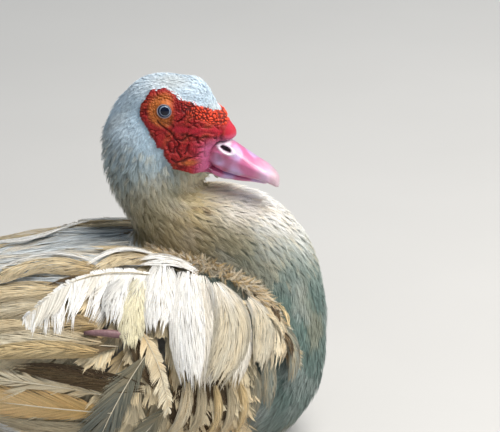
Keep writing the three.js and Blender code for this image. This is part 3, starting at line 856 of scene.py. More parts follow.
def face_colour(q, dark):
    crease, from_eye, beads, smooth = face_zones(q)[:4]
    colour = np.tile(RED, (len(q), 1))
    colour = blend(colour, ORANGE * 0.8, 0.20 * smoothstep(0, 1, waves(q * MM, 9, 41)))
    colour = blend(colour, CRIMSON, 0.6 * smoothstep(-22, -34, q[:, 2]) * smoothstep(12, 22, q[:, 0]))
    # Partly painted light: the beads are painted brighter towards the front.
    colour = blend(colour, LIT_BEAD_RED, beads * smoothstep(10, 30, q[:, 0]))
    colour = blend(colour, CRIMSON, 0.9 * smooth)
    below_knob = smoothstep(-21, -27, q[:, 2])
    colour = blend(colour, ROSE, 0.9 * smoothstep(17, 29, q[:, 0]) * below_knob)
    colour = blend(colour, BLUSH, 0.9 * smoothstep(25, 34, q[:, 0]) * below_knob)
    colour = blend(colour, PINK, 0.75 * base_share(q))
    ring = smoothstep(14.5, 9.5, from_eye) * smoothstep(9, 1, q[:, 0])
    colour = blend(colour, ORANGE, 0.9 * ring)
    gape = np.hypot((q[:, 0] - GAPE[0]) * 0.5, (q[:, 2] - GAPE[1]) * 1.3)
    colour = blend(colour, ORANGE * 1.1, 0.6 * smoothstep(5, 1, gape))
    # Painted shade: the creases and gaps are painted dark maroon.
    colour = blend(colour, SHADE_MAROON, np.clip(dark, 0, 1) * 0.85)
    return colour


points = points_of(skin)
q = head_mm(points)
bare = marked(skin, "Bare")
# Painted shade: the skin under the coat is painted a quarter darker than the coat, for the shade between the
# feathers.
tint = coat_colour(points, normals_of(skin)) * 0.75
face_tint = np.zeros_like(tint)
chosen = bare > 0
face_tint[chosen] = face_colour(q[chosen], dark[chosen])
tint = blend(tint, face_tint, smoothstep(0.0, 0.22, bare))
paint(skin, "Tint", tint)

graph = Graph("skin")
bare_mask = graph.attribute("Bare", "Fac")
grain = graph.cells(1100) * 0.6 + graph.noise(2600) * 0.4
shade = graph.noise(700, 3) * 0.35 + 0.82
skin_material = graph.finish(
    Base_Color=graph.tinted(graph.attribute("Tint"), shade),
    Roughness=0.62 - bare_mask * 0.14,
    Specular_IOR_Level=0.28,
    Normal=graph.bump(grain * bare_mask, 0.0004),
    Subsurface_Weight=0.12,
    Subsurface_Radius=(0.004, 0.0012, 0.0008),
    Subsurface_Scale=0.6,
)
dress(skin, skin_material, "face_skin", *FLESH)

# %% [markdown]
# ## Eyes
#
# An eye is one ball, raised a little in front as a cornea is. Its colours go by the angle off its axis, so
# the pupil, the iris and its dark edge are true circles. A thin ring lies on the skin as the rim of the
# lids.

# %% Make the eyeballs
# Colours by the angle off the eye's axis, in degrees: the pupil, the pale iris, its dark edge and the white.
EYE_RINGS = [
    (0, (0.002, 0.004, 0.018)),
    (25, (0.002, 0.005, 0.024)),
    (27, (0.20, 0.27, 0.38)),
    (31, (0.30, 0.37, 0.48)),
    (34, (0.030, 0.050, 0.12)),
    (42, (0.020, 0.030, 0.08)),
    (50, (0.25, 0.25, 0.32)),
]
graph = Graph("eye")
off_axis = graph.attribute("OffAxis", "Fac") * (1 / 60)
ramp = graph.make("ShaderNodeValToRGB", {}, {0: off_axis})
stops = ramp.output.node.color_ramp.elements
for index, (angle, colour) in enumerate(EYE_RINGS):
    stop = stops[index] if index < 2 else stops.new(angle / 60)
    stop.position = angle / 60
    stop.color = (*colour, 1)
streaks = graph.noise(1500, 2) * 0.5 + 0.75
eye_material = graph.finish(
    Base_Color=graph.tinted(ramp, streaks), Roughness=0.07, Specular_IOR_Level=0.35
)
CORNEA_ANGLE = 42
CORNEA_RISE = 0.5 * MM
for name, side in SIDES.items():
    bpy.ops.mesh.primitive_uv_sphere_add(segments=64, ring_count=48, radius=EYE_RADIUS)
    eye = bpy.context.object
    eye.name = "eyeball_" + name
    bpy.ops.object.shade_smooth()
    ball = points_of(eye)
    angle = np.degrees(np.arccos(np.clip(ball[:, 2] / EYE_RADIUS, -1, 1)))
    ball += unit(ball) * (CORNEA_RISE * smoothstep(CORNEA_ANGLE, 18, angle))[:, None]
    axis = unit(HEAD_LEFT * side + HEAD_FORWARD * 0.10 + HEAD_UP * 0.06)
    across = unit(np.cross(HEAD_UP, axis))
    turned_ball = ball @ np.stack([across, np.cross(axis, across), axis])
    move_points(eye, turned_ball + middle_of("eye_" + name))
    mark(eye, "OffAxis", angle)
    dress(eye, eye_material, "eye", "eye_" + name)

# %% Make the lids' rims
rim_graph = Graph("lid_rim")
rim_material = rim_graph.finish(
    Base_Color=rim_graph.tinted((0.30, 0.26, 0.30), rim_graph.noise(1400) * 0.8 + 0.6),
    Roughness=0.4,
    Coat_Weight=0.3,
)
RIM_THICK = 0.42
for name, side in SIDES.items():
    bpy.ops.mesh.primitive_torus_add(
        major_segments=72, minor_segments=12, major_radius=EYE_OPENING, minor_radius=RIM_THICK
    )
    rim = bpy.context.object
    rim.name = "lid_rim_" + name
    bpy.ops.object.shade_smooth()
    ring = points_of(rim)
    out = eye_out + math.sqrt((LID_RADIUS - 0.25) ** 2 - EYE_OPENING**2)
    placed = np.stack([ring[:, 0], side * (ring[:, 2] + out), ring[:, 1]], axis=1)
    move_points(rim, from_head(placed))
    edit_all(rim, bpy.ops.mesh.normals_make_consistent, inside=False)
    dress(rim, rim_material, "eye")

# %% [markdown]
# ## Bill
#
# A duck's bill is soft skin over bone, with a hard nail at its tip. The upper half holds the nail, and the
# lower one is raised until the two close. The nostril is a slanting slit with a pale raised rim.

# %% Shape and colour the bill
LILAC = np.array([0.54, 0.41, 0.70])
PALE_PINK = np.array([0.62, 0.40, 0.52])
PALE_LILAC = np.array([0.74, 0.68, 0.78])
NAIL = np.array([0.52, 0.36, 0.42])
WINE = np.array([0.26, 0.035, 0.075])
NOSTRIL = np.array([43.9, -33.1])
NOSTRIL_SIZE = np.array([4.9, 1.9])
NOSTRIL_DIP = math.radians(29)


def nostril_reach(q):
    """How far each place is from the nostril's middle: 1 on its edge."""
    dx, dz = q[:, 0] - NOSTRIL[0], q[:, 2] - NOSTRIL[1]
    along = dx * math.cos(NOSTRIL_DIP) - dz * math.sin(NOSTRIL_DIP)
    across = dx * math.sin(NOSTRIL_DIP) + dz * math.cos(NOSTRIL_DIP)
    return np.hypot(along / NOSTRIL_SIZE[0], across / NOSTRIL_SIZE[1])


def pale_share(q):
    """The pale patch round the nostril and under the knob."""
    under_knob = np.hypot(q[:, 0] - 43, q[:, 2] + 27.5)
    return np.maximum(smoothstep(2.0, 1.25, nostril_reach(q)), smoothstep(7.5, 3.5, under_knob))


def bill_colour(q):
    reach = nostril_reach(q)
    colour = np.tile(PINK, (len(q), 1))
    colour = blend(colour, LILAC, 0.8 * smoothstep(-0.5, 0.7, waves(q * MM, 13, 51)))
    veins = smoothstep(-0.2, 1.0, waves(q * MM, 10, 55)) * smoothstep(58, 44, q[:, 0])
    colour = blend(colour, WINE, 0.45 * veins)
    colour = blend(colour, PALE_PINK, 0.7 * smoothstep(62, 74, q[:, 0]))
    base = np.interp(q[:, 2], *BILL_BASE)
    colour = blend(colour, BLUSH, 0.6 * smoothstep(base + 12, base + 4, q[:, 0]))
    colour = blend(colour, PALE_LILAC, 0.8 * pale_share(q))
    colour = blend(colour, NAIL, smoothstep(74, 80, q[:, 0]))
    # Painted shade: the inside of the nostril's pit is painted near black.
    return blend(colour, np.array([0.03, 0.004, 0.02]), smoothstep(1.05, 0.75, reach))


LIP_OVERLAP = 3.4
JAW_SHARE = 0.72
BASE_SINK = 1.6


def closed_on(upper, lower):
    """The lower half raised until its rim meets the upper half's all along, and made shallower."""
    start = max(lower[:, 0].min(), upper[:, 0].min())
    steps = np.arange(start, min(lower[:, 0].max(), upper[:, 0].max()), 2.5)
    upper_rim = [upper[abs(upper[:, 0] - x) < 2.5, 2].min() for x in steps]
    lower_rim = [lower[abs(lower[:, 0] - x) < 2.5, 2].max() for x in steps]
    rim = np.interp(lower[:, 0], steps, upper_rim) + LIP_OVERLAP
    lower[:, 2] = rim + (lower[:, 2] - np.interp(lower[:, 0], steps, lower_rim)) * JAW_SHARE
    return lower


def bill_half(name, nodes, upper=None):
    piece = soft_copy(name, nodes, 0.5 * MM, 10, 0.00015)
    q = head_mm(points_of(piece))
    if upper is not None:
        q = closed_on(head_mm(points_of(upper)), q)
        move_points(piece, from_head(q))
        relax(piece, 3)
        q = head_mm(points_of(piece))
    reach = nostril_reach(q)
    ripple = 0.10 * waves(q * MM, 3.2, 53) * smoothstep(62, 40, q[:, 0])
    height = 0.45 * np.exp(-(((reach - 1.35) / 0.28) ** 2)) + ripple
    base = np.interp(q[:, 2], *BILL_BASE)
    height -= BASE_SINK * smoothstep(base + 12, base + 3, q[:, 0])
    move_points(piece, points_of(piece) + normals_of(piece) * (height * MM)[:, None])
    paint(piece, "Tint", bill_colour(q))
    return piece


graph = Graph("bill")
soft_noise = graph.noise(260, 3) * 0.3 + 0.85
fine_grain = graph.noise(1800, 2) * 0.5 + graph.noise(500, 2) * 0.5
bill_material = graph.finish(
    Base_Color=graph.tinted(graph.attribute("Tint"), soft_noise),
    Roughness=0.28 + fine_grain * 0.18,
    Normal=graph.bump(fine_grain, 0.0002),
    Coat_Weight=0.5,
    Coat_Roughness=0.18,
    Subsurface_Weight=0.15,
    Subsurface_Radius=(0.004, 0.0015, 0.002),
    Subsurface_Scale=0.6,
)
upper_nodes = ["bill_upper", "bill_nail"]
upper_half = bill_half("bill_upper_shape", upper_nodes)
lower_half = bill_half("bill_lower_shape", ["bill_lower"], upper_half)
dress(upper_half, bill_material, "bill", *upper_nodes)
dress(lower_half, bill_material, "bill", "bill_lower")

graph = Graph("horn")
horn_material = graph.finish(
    Base_Color=graph.tinted((0.55, 0.42, 0.40), graph.noise(500, 3) * 0.5 + 0.72),
    Roughness=0.34,
    Normal=graph.bump(graph.noise(1500), 0.00015),
    Coat_Weight=0.3,
    Coat_Roughness=0.2,
)

# %% [markdown]
# ## Feet
#
# The shanks, toes and webs become one scaled skin on each side, and the claws are horn.

# %% Shape the feet and claws
graph = Graph("foot_skin")
scales = graph.cells(420)
shade = scales * 0.35 + graph.noise(160, 3) * 0.3 + 0.6
foot_material = graph.finish(
    Base_Color=graph.tinted((0.72, 0.43, 0.12), shade),
    Roughness=0.55,
    Normal=graph.bump(scales, 0.0006),
    Subsurface_Weight=0.08,
    Subsurface_Scale=0.003,
)
for name in SIDES:
    foot_nodes = ["shank_" + name, "foot_" + name]
    foot = soft_copy("foot_skin_" + name, foot_nodes, 0.9 * MM, 5, 0.0003)
    dress(foot, foot_material, "foot_skin", *foot_nodes)
    claw_nodes = [f"claw_{toe}_{name}" for toe in ("inner", "middle", "outer", "hind")]
    claws = soft_copy("claws_" + name, claw_nodes, 0.35 * MM, 5, 0.0001)
    dress(claws, horn_material, "horn", *claw_nodes)

# %% [markdown]
# ## Ribbons
#
# The whole coat is made of ribbons. Each is a tapering strip along a curve with a start, a middle that
# pulls it and an end, and it stands for one clump of barbs. A coat piece joins many thousands of them into
# one mesh, with a colour on each point and a small patch of the unwrap for each feather.

# %% Make the coat's builder
PATCH = 0.003
FLOOR_GAP = 0.3 * MM


class Coat:
    """A mesh of feather ribbons, gathered in batches and joined at the end."""

    def __init__(self, name):
        self.name = name
        self.points, self.triangles, self.colours, self.uvs, self.normals = [], [], [], [], []
        self.count = 0

    def add(self, start, middle, end, facing, width, root_colour, tip_colour, root_uv, steps=3):
        """Adds one ribbon for each row of the arrays: its curve, the way it faces, its width and colours."""
        rows = len(start)
        s = np.linspace(0, 1, steps + 1)[None, :, None]
        start, middle, end = start[:, None], middle[:, None], end[:, None]
        curve = (1 - s) ** 2 * start + 2 * (1 - s) * s * middle + s**2 * end
        tangent = 2 * (1 - s) * (middle - start) + 2 * s * (end - middle)
        across = unit(np.cross(facing[:, None], tangent))
        half = 0.5 * np.asarray(width)[:, None, None] * (0.75 + 0.5 * s) * (1 - s**3)
        pair = np.stack([curve - across * half, curve + across * half], axis=2)[:, :-1]
        points = np.concatenate([pair.reshape(rows, -1, 3), curve[:, -1:]], axis=1)
        shade = np.concatenate([np.repeat(s[0, :-1, 0], 2), [1.0]])[None, :, None]
        colours = root_colour[:, None] * (1 - shade) + tip_colour[:, None] * shade
        flat = np.stack([np.array([-0.5, 0.5] * steps + [0.0]), shade[0, :, 0] - 0.5], axis=1)
        uvs = root_uv[:, None] + flat[None] * PATCH
        quads = [(2 * k, 2 * k + 3, 2 * k + 1, 2 * k, 2 * k + 2, 2 * k + 3) for k in range(steps - 1)]
        pattern = np.array([i for quad in quads for i in quad] + [2 * steps - 2, 2 * steps, 2 * steps - 1])
        offsets = self.count + np.arange(rows)[:, None] * (2 * steps + 1)
        points[..., 2] = np.maximum(points[..., 2], FLOOR_GAP)
        self.triangles.append((pattern[None] + offsets).reshape(-1, 3))
        self.points.append(points.reshape(-1, 3))
        self.colours.append(colours.reshape(-1, 3))
        self.uvs.append(uvs.reshape(-1, 2))
        self.normals.append(np.repeat(facing, 2 * steps + 1, axis=0))
        self.count += rows * (2 * steps + 1)

    def build(self, material, slot, *replaced):
        """Joins the ribbons into one piece of the model."""
        points, triangles = np.concatenate(self.points), np.concatenate(self.triangles)
        mesh = bpy.data.meshes.new(self.name)
        mesh.vertices.add(len(points))
        mesh.vertices.foreach_set("co", points.astype(np.float32).ravel())
        mesh.loops.add(triangles.size)
        mesh.loops.foreach_set("vertex_index", triangles.astype(np.int32).ravel())
        mesh.polygons.add(len(triangles))
        mesh.polygons.foreach_set("loop_start", np.arange(0, triangles.size, 3, dtype=np.int32))
        mesh.polygons.foreach_set("use_smooth", np.ones(len(triangles), bool))
        mesh.update(calc_edges=True)
        piece = bpy.data.objects.new(self.name, mesh)
        bpy.context.scene.collection.objects.link(piece)
        paint(piece, "Tint", np.concatenate(self.colours))
        layer = mesh.uv_layers.new(name="OFBake")
        uvs = np.concatenate(self.uvs)[triangles.ravel()]
        layer.data.foreach_set("uv", uvs.astype(np.float32).ravel())
        mesh.normals_split_custom_set_from_vertices(unit(np.concatenate(self.normals)).tolist())
        dress(piece, material, slot, *replaced)
        return piece


def feather_material(name, roughness):
    graph = Graph(name)
    shade = graph.noise(900, 2) * 0.30 + 0.86
    return graph.finish(
        Base_Color=graph.tinted(graph.attribute("Tint"), shade),
        Roughness=roughness,
        Sheen_Weight=0.12,
        Sheen_Roughness=0.5,
        Specular_IOR_Level=0.3,
    )


down_material = feather_material("down", 0.8)
vane_material = feather_material("vane", 0.6)

# %% [markdown]
# ## Small feathers
#
# Roots are scattered over the skin, closer together where the feathers are smaller. Each small feather is a
# fan of ribbons that lies back along the coat.

# %% Scatter roots over the skin
skin_points = points_of(skin)
skin_normals = normals_of(skin)
skin_triangles = triangles_of(skin)
skin_place = place_on_line(skin_points)
skin_bare = np.maximum(marked(skin, "Bare"), marked(skin, "InBill"))


def scatter(spacing, low, high, seed):
    """Points and normals on the skin, about a spacing apart, between two places on the body's line."""
    rng = np.random.default_rng(seed)
    corners = skin_points[skin_triangles]
    place = skin_place[skin_triangles].mean(axis=1)
    clear = skin_bare[skin_triangles].max(axis=1) < 0.6
    one_side, other_side = corners[:, 1] - corners[:, 0], corners[:, 2] - corners[:, 0]
    area = 0.5 * np.linalg.norm(np.cross(one_side, other_side), axis=1)
    area *= clear & (place >= low) & (place < high)
    count = int(4 * area.sum() / spacing**2)
    chosen = rng.choice(len(area), count, p=area / area.sum())
    u, v = rng.uniform(size=(2, count, 1))
    flip = u + v > 1
    u, v = np.where(flip, 1 - u, u), np.where(flip, 1 - v, v)
    index = skin_triangles[chosen]
    points = skin_points[index[:, 0]] * (1 - u - v) + skin_points[index[:, 1]] * u
    points = points + skin_points[index[:, 2]] * v
    normals = skin_normals[index[:, 0]] * (1 - u - v) + skin_normals[index[:, 1]] * u
    normals = unit(normals + skin_normals[index[:, 2]] * v)
    cell = np.floor(points / (spacing * 1.05)).astype(int)
    first = np.unique(cell, axis=0, return_index=True)[1]
    return points[first], normals[first]


def fans(coat, points, normals, length, spread, barbs, width, lift, gather, colours, rng, flow=None, steps=3):
    """Small feathers: a fan of ribbons from each root. Gather is how far their ends draw together again."""
    if flow is None:
        flow = lie_of_coat(points, normals)
    flow = unit(flow + 0.22 * rng.normal(size=flow.shape))
    flow = unit(flow - (flow * normals).sum(axis=1, keepdims=True) * normals)
    side = np.cross(normals, flow)
    uv = unwrap(points)
    tone = 1 + 0.04 * rng.normal(size=(len(points), 1))
    length = np.broadcast_to(length, len(points)) * rng.uniform(0.8, 1.2, len(points))
    rise = np.broadcast_to(lift, len(points)) * rng.uniform(0.6, 1.4, len(points))
    for u in np.linspace(-1, 1, barbs):
        reach = (length * (1 - 0.22 * u * u) * rng.uniform(0.86, 1.1, len(points)))[:, None] * MM
        aside = (u + 0.25 * rng.normal(size=len(points)))[:, None] * spread * MM
        start = points - normals * 0.6 * MM + side * aside * 0.3
        middle = points + flow * reach * 0.5 + side * aside * 0.9 + normals * rise[:, None] * 0.75 * MM
        end = points + flow * reach + side * aside * (1 - gather) + normals * rise[:, None] * MM
        facing = unit(normals + 0.25 * side * u + 0.10 * rng.normal(size=normals.shape))
        own = tone * (1 + 0.05 * rng.normal(size=(len(points), 1)))
        wide = width * MM * rng.uniform(0.75, 1.25, len(points))
        # Painted shade: each ribbon's root is painted a tenth darker than its tip.
        coat.add(start, middle, end, facing, wide, colours * own * 0.9, colours * own, uv, steps)


# %% Cover the head
HEAD_FROM = 0.835
rng = np.random.default_rng(71)
coat = Coat("head_feathers")
roots, root_normals = scatter(1.25 * MM, HEAD_FROM, 1.0, 72)
q = head_mm(roots)
to_face = distance_to(face_tree, roots, 12 * MM) / MM
size = np.interp(to_face, [0, 3, 12], [0.5, 0.8, 1.0])
size *= 1 + 0.9 * smoothstep(-26, -34, q[:, 0])
colours = coat_colour(roots, root_normals)
fans(coat, roots, root_normals, 5.6 * size, 0.9, 5, 0.42, 1.2 * size, 0.3, colours, rng, steps=2)
coat.build(down_material, "body_feather")

# %% Cover the neck
NECK_FROM = 0.60
NECK_MIDDLE = 0.74
# Name, places on the line, and the seed of the roots.
NECK_COATS = [
    ("neck_feathers_upper", NECK_MIDDLE, HEAD_FROM, 76),
    ("neck_feathers_lower", NECK_FROM, NECK_MIDDLE, 77),
]
rng = np.random.default_rng(75)
for name, low, high, seed in NECK_COATS:
    coat = Coat(name)
    roots, root_normals = scatter(2.7 * MM, low, high, seed)
    colours = coat_colour(roots, root_normals)
    colours = blend(colours, CREAM, 0.35 * smoothstep(0.3, 1.2, rng.normal(size=len(roots))))
    along = place_on_line(roots)
    # Brown on about one root in ten near the top of the neck: partly brown flecks, partly painted shade of
    # the gaps between feathers.
    flecks_and_gap_shade = smoothstep(0.69, 0.72, along) * smoothstep(0.78, 0.74, along)
    flecks_and_gap_shade *= smoothstep(-0.2, 0.5, root_normals[:, 2])
    colours = blend(colours, BROWN * 2, 0.7 * flecks_and_gap_shade * (rng.uniform(size=len(roots)) < 0.10))
    length = np.interp(along, [NECK_FROM, NECK_MIDDLE, HEAD_FROM], [12, 11, 8])
    lift = 1.8 + 2.2 * smoothstep(0.72, 0.80, along) * smoothstep(0.2, -0.6, root_normals[:, 0])
    fans(coat, roots, root_normals, length, 1.8, 10, 0.36, lift, 0.4, colours, rng)
    coat.build(down_material, "body_feather")

# %% Cover the breast, belly and rump
# Name, places on the line, spacing, length, spread, ribbons, and their width.
BODY_COATS = [
    ("breast_feathers", 0.46, NECK_FROM, 3.9, 12, 2.6, 9, 0.55),
    ("belly_feathers", 0.05, 0.46, 7.0, 20, 5.0, 12, 1.0),
]
rng = np.random.default_rng(81)
for name, low, high, spacing, length, spread, barbs, width in BODY_COATS:
    coat = Coat(name)
    roots, root_normals = scatter(spacing * MM, low, high, 82 + len(name))
    colours = coat_colour(roots, root_normals)
    fans(coat, roots, root_normals, length, spread, barbs, width, 1.3, 0.1, colours, rng)
    coat.build(down_material, "body_feather")

# %% [markdown]
# ## Large feathers
#
# A large feather follows a path on a bed: the trunk and the wings' layers grown together. A place on the
# bed is an X in millimetres and an angle round the body, from 0 along the back to 90 at the side. Stiff
# feathers are vanes, with ribbons on both sides of a shaft. Soft ones are plumes, combed from short strands
# that overlap like hair.

# %% Lay the bed
WING_LAYERS = [layer + name for layer in ("scapulars_", "wing_coverts_", "secondaries_") for name in SIDES]
bed = soft_copy("bed", ["trunk"] + WING_LAYERS, 2.5 * MM, 14)
bed_tree = tree_of(bed)
bpy.data.objects.remove(bed)
TRUNK_ROWS = np.array(BODY_LINE[:6], float)
DEGREE_MM = 1.5


def bed_at(x, angle, side):
    """The place and normal on the bed at an X and an angle off the top, on one side."""
    turn = math.radians(angle)
    start = Vector((x, 0, np.interp(x, TRUNK_ROWS[:, 0], TRUNK_ROWS[:, 1]))) * MM
    out = Vector((0, side * math.sin(turn), math.cos(turn)))
    hit, normal, _, _ = bed_tree.ray_cast(start, out)
    if hit is None:
        hit, normal = start + out * 30 * MM, out
    return np.array(hit), np.array(normal if normal.dot(out) > 0 else -normal)


def path_on_bed(root, tip, side, bow, lift, count=9):
    """A feather's shaft on the bed, from root to tip, bowed sideways and rising towards the tip."""
    root, tip = np.array(root, float), np.array(tip, float)
    scale = np.array([1, DEGREE_MM])
    run = (tip - root) * scale
    sideways = np.array([-run[1], run[0]]) * bow / scale
    points, normals = [], []
    for t in np.linspace(0, 1, count):
        x, angle = root + (tip - root) * t + sideways * 4 * t * (1 - t)
        point, normal = bed_at(x, angle, side)
        points.append(point + normal * (lift[0] + (lift[1] - lift[0]) * t) * MM)
        normals.append(normal)
    points, normals = np.array(points), np.array(normals)
    for _ in range(3):
        points[1:-1] = (points[:-2] + 2 * points[1:-1] + points[2:]) / 4
        normals[1:-1] = normals[:-2] + 2 * normals[1:-1] + normals[2:]
    return points, unit(normals)


# %% Make the vane
def along_path(path, values, t):
    """Values along a path at shares of its length."""
    steps = np.concatenate([[0], np.cumsum(np.linalg.norm(np.diff(path, axis=0), axis=1))])
    return np.stack([np.interp(t * steps[-1], steps, values[:, k]) for k in range(3)], axis=1)


def length_of(path):
    return np.linalg.norm(np.diff(path, axis=0), axis=1).sum()


def vane(coat, rng, path, normals, halves, look, loose, angles, tipness, pitch, shaft):
    """One stiff feather. Halves are the vane's half widths in millimetres, to the left of the shaft as seen
    from above with the tip ahead, and to its right. Neighbouring ribbons draw together in clumps, which part
    where the feather is loose."""
    root_colour, tip_colour, stain, share = LOOKS[look]
    length = length_of(path)
    count = max(6, int(length / (pitch * MM)))
    t = (np.arange(count) + 0.5) / count
    t = np.concatenate([t, t]) * 0.97 + 0.02
    hand = np.repeat([1.0, -1.0], count)
    base = along_path(path, path, t)
    normal = unit(along_path(path, normals, t))
    along = unit(along_path(path, np.gradient(path, axis=0), t))
    left = np.cross(normal, along)
    half = np.where(hand > 0, halves[0], halves[1]) * MM
    opening = np.radians(angles[0] + (angles[1] - angles[0]) * t)
    room = (1 - t) * length / np.maximum(np.cos(opening), 0.2) + 2 * MM
    shape = np.minimum(1, (t / 0.12) ** 0.6) * np.maximum(1 - t**tipness, 0.02) ** 0.4
    size = np.minimum(half * shape / np.sin(opening), room * 1.1)
    clump = np.cumsum(rng.uniform(size=2 * count) < 0.13) + (hand < 0) * count
    clump = np.unique(clump, return_inverse=True)[1]
    groups = clump.max() + 1
    turn = rng.normal(size=groups)[clump] * loose * 0.17 + rng.normal(size=2 * count) * 0.045
    reach = 1 + rng.normal(size=groups)[clump] * 0.13 * loose + rng.normal(size=2 * count) * 0.09
    height = (rng.normal(size=groups)[clump] * loose * 1.1 + rng.normal(size=2 * count) * 0.25) * MM
    opening = np.clip(opening + turn, 0.12, 1.5)
    closing = opening * 0.62
    size = size * np.clip(reach, 0.5, 1.35)
    side = left * hand[:, None]
    first = along * np.cos(opening)[:, None] + side * np.sin(opening)[:, None]
    last = along * np.cos(closing)[:, None] + side * np.sin(closing)[:, None]
    middle = base + first * size[:, None] * 0.5
    end = middle + last * size[:, None] * 0.5
    sag = (size * np.sin(opening)) ** 2 / 0.13
    end += normal * (height - sag)[:, None]
    middle += normal * (height * 0.3 - sag * 0.25 + 0.3 * MM)[:, None]
    centre = np.stack([np.bincount(clump, end[:, k]) for k in range(3)], axis=1) / np.bincount(clump)[:, None]
    end = end + (centre[clump] - end) * 0.35 * loose
    tone = rng.normal(size=groups)[clump] * 0.04 + rng.normal(size=2 * count) * 0.05 + rng.normal() * 0.04 + 1
    colour = blend(root_colour, tip_colour, smoothstep(0.02, 0.7, t))
    streak = share * (0.5 + 0.5 * rng.normal(size=groups)[clump]) + 0.25 * share * rng.normal(size=2 * count)
    colour = blend(colour, stain, np.clip(streak, 0, 0.9)) * tone[:, None]
    fringe = blend(colour, tip_colour * tone[:, None], 0.5)
    facing = unit(normal + along * (0.18 * rng.normal(size=(2 * count, 1))))
    uv = np.repeat(unwrap(path[:1]), 2 * count, axis=0)
    width = pitch * 1.75 * MM * (0.75 + 0.5 * rng.uniform(size=2 * count))
    # Painted shade: the ribbons' roots are painted a tenth darker.
    coat.add(base, middle, end, facing, width, colour * 0.9, fringe, uv)
    quill(coat, path, normals, shaft, SHAFT, uv[:1])


def quill(coat, path, normals, width, colour, uv):
    """The shaft: two ribbons that lean together like a roof."""
    top = path + normals * 0.35 * MM
    middle = len(top) // 2
    pull = 2 * top[middle] - (top[0] + top[-1]) / 2
    across = np.cross(normals[middle], unit(top[-1] - top[0]))
    for tilt in (-0.8, 0.8):
        lean = unit(normals[middle] + across * tilt)
        rows = [row[None] for row in (top[0], pull, top[-1], lean)]
        # Painted shade: the shaft's root is painted a tenth darker.
        coat.add(*rows, np.array([width * MM]), colour[None] * 0.9, colour[None], uv, steps=7)


# %% Make the plume
def outline(t, root, tip, widest):
    """A soft feather's half width along it: a share at the root, up to 1, and down to a share at the tip."""
    t = np.clip(t, 0, 1)
    rise = root + (1 - root) * np.sin(0.5 * math.pi * np.minimum(t / widest, 1))
    fall = np.maximum(t - widest, 0) / (1 - widest)
    return rise * np.sqrt(np.maximum(1 - fall**2 * (1 - tip**2), 0))


def plume(
    coat, rng, path, normals, halves, look, dome, opening, barb, shape, ragged, width=0.42, layers=3.0
):
    """One soft feather, domed across, whose strands run along it and open out a little from its middle."""
    root_colour, tip_colour, stain, share = LOOKS[look]
    length = length_of(path) / MM
    halves = np.array(halves, float)
    count = int(layers * halves.sum() * 0.8 * length / (barb * width * 0.6))
    slope = np.gradient(path, axis=0)

    def at(t, u, rise):
        inside = np.clip(t, 0, 1)
        along = unit(along_path(path, slope, inside))
        normal = unit(along_path(path, normals, inside))
        left = np.cross(normal, along)
        half = np.where(u > 0, halves[0], halves[1]) * outline(t, *shape)
        point = along_path(path, path, inside) + along * ((t - inside) * length * MM)[:, None]
        height = dome * (1 - np.abs(u) ** 2.2) + rise
        point = point + left * (u * half * MM)[:, None] + normal * (height * MM)[:, None]
        lean = 2.4 * dome * u / np.maximum(half, 3)
        return point, unit(normal + left * lean[:, None])

    t0 = rng.uniform(-0.03, 1 - 0.45 * min(barb / length, 1), count)
    u0 = rng.uniform(-1, 1, count)
    reach = barb * rng.uniform(0.7, 1.25, count)
    angle = np.radians(opening) * rng.uniform(0.6, 1.4, count)
    bands = max(5, int(halves.sum() / 2.2))
    half = np.where(u0 > 0, halves[0], halves[1]) * outline(t0, *shape)
    u1 = u0 + np.clip(u0 * 2.5, -1, 1) * np.sin(angle) * reach / np.maximum(half, 2)
    u1 = np.clip(u1, -1 - 0.08 * rng.uniform(size=count), 1 + 0.08 * rng.uniform(size=count))
    band = np.round((u1 + 1) * bands / 2).astype(int)
    ends = 1 + ragged * rng.normal(size=bands + 2)[band] + 0.03 * rng.normal(size=count)
    ends += 0.12 * (rng.uniform(size=count) < 0.05)
    t1 = np.minimum(t0 + np.cos(angle) * reach / length, ends)
    u1 += (band * 2 / bands - 1 - u1) * 0.5 * smoothstep(0.8, 1.0, t1)
    start, _ = at(t0, u0, np.full(count, -0.8))
    middle, facing = at((t0 + t1) / 2, u0 * 0.55 + u1 * 0.45, rng.uniform(0.2, 0.7, count))
    end, _ = at(t1, u1, rng.uniform(-0.1, 0.9, count))
    wave = np.sin(u0 * rng.uniform(3, 7) + rng.uniform(0, 6) + 2 * t0)
    streak = share * (0.55 + 0.45 * wave) + 0.6 * share * (rng.uniform(size=count) < 0.2)
    streak += 0.25 * share * rng.normal(size=count)
    colour = blend(root_colour, tip_colour, smoothstep(0, 0.5, t1))
    colour = blend(colour, stain, np.clip(streak, 0, 0.95))
    tone = 1 + 0.05 * rng.normal(size=count) + 0.03 * rng.normal(size=bands + 2)[band]
    # Painted shade: stained plumes are painted darker towards their edges, where they overlap.
    tone -= min(share, 0.35) * 0.9 * smoothstep(0.7, 1.0, np.abs(u1))
    colour = np.clip(colour * tone[:, None], 0, 0.95)
    facing = unit(facing + 0.10 * rng.normal(size=facing.shape))
    uv = np.repeat(unwrap(path[:1]), count, axis=0)
    wide = width * MM * rng.uniform(0.7, 1.4, count)
    # Painted shade: the strands' roots are painted a little darker.
    coat.add(start, middle, end, facing, wide, colour * 0.92, colour, uv)


# %% Choose the wing's colours
SHAFT = np.array([0.84, 0.76, 0.60])
PINK_WHITE = np.array([0.82, 0.74, 0.64])
PEWTER = np.array([0.42, 0.42, 0.33])
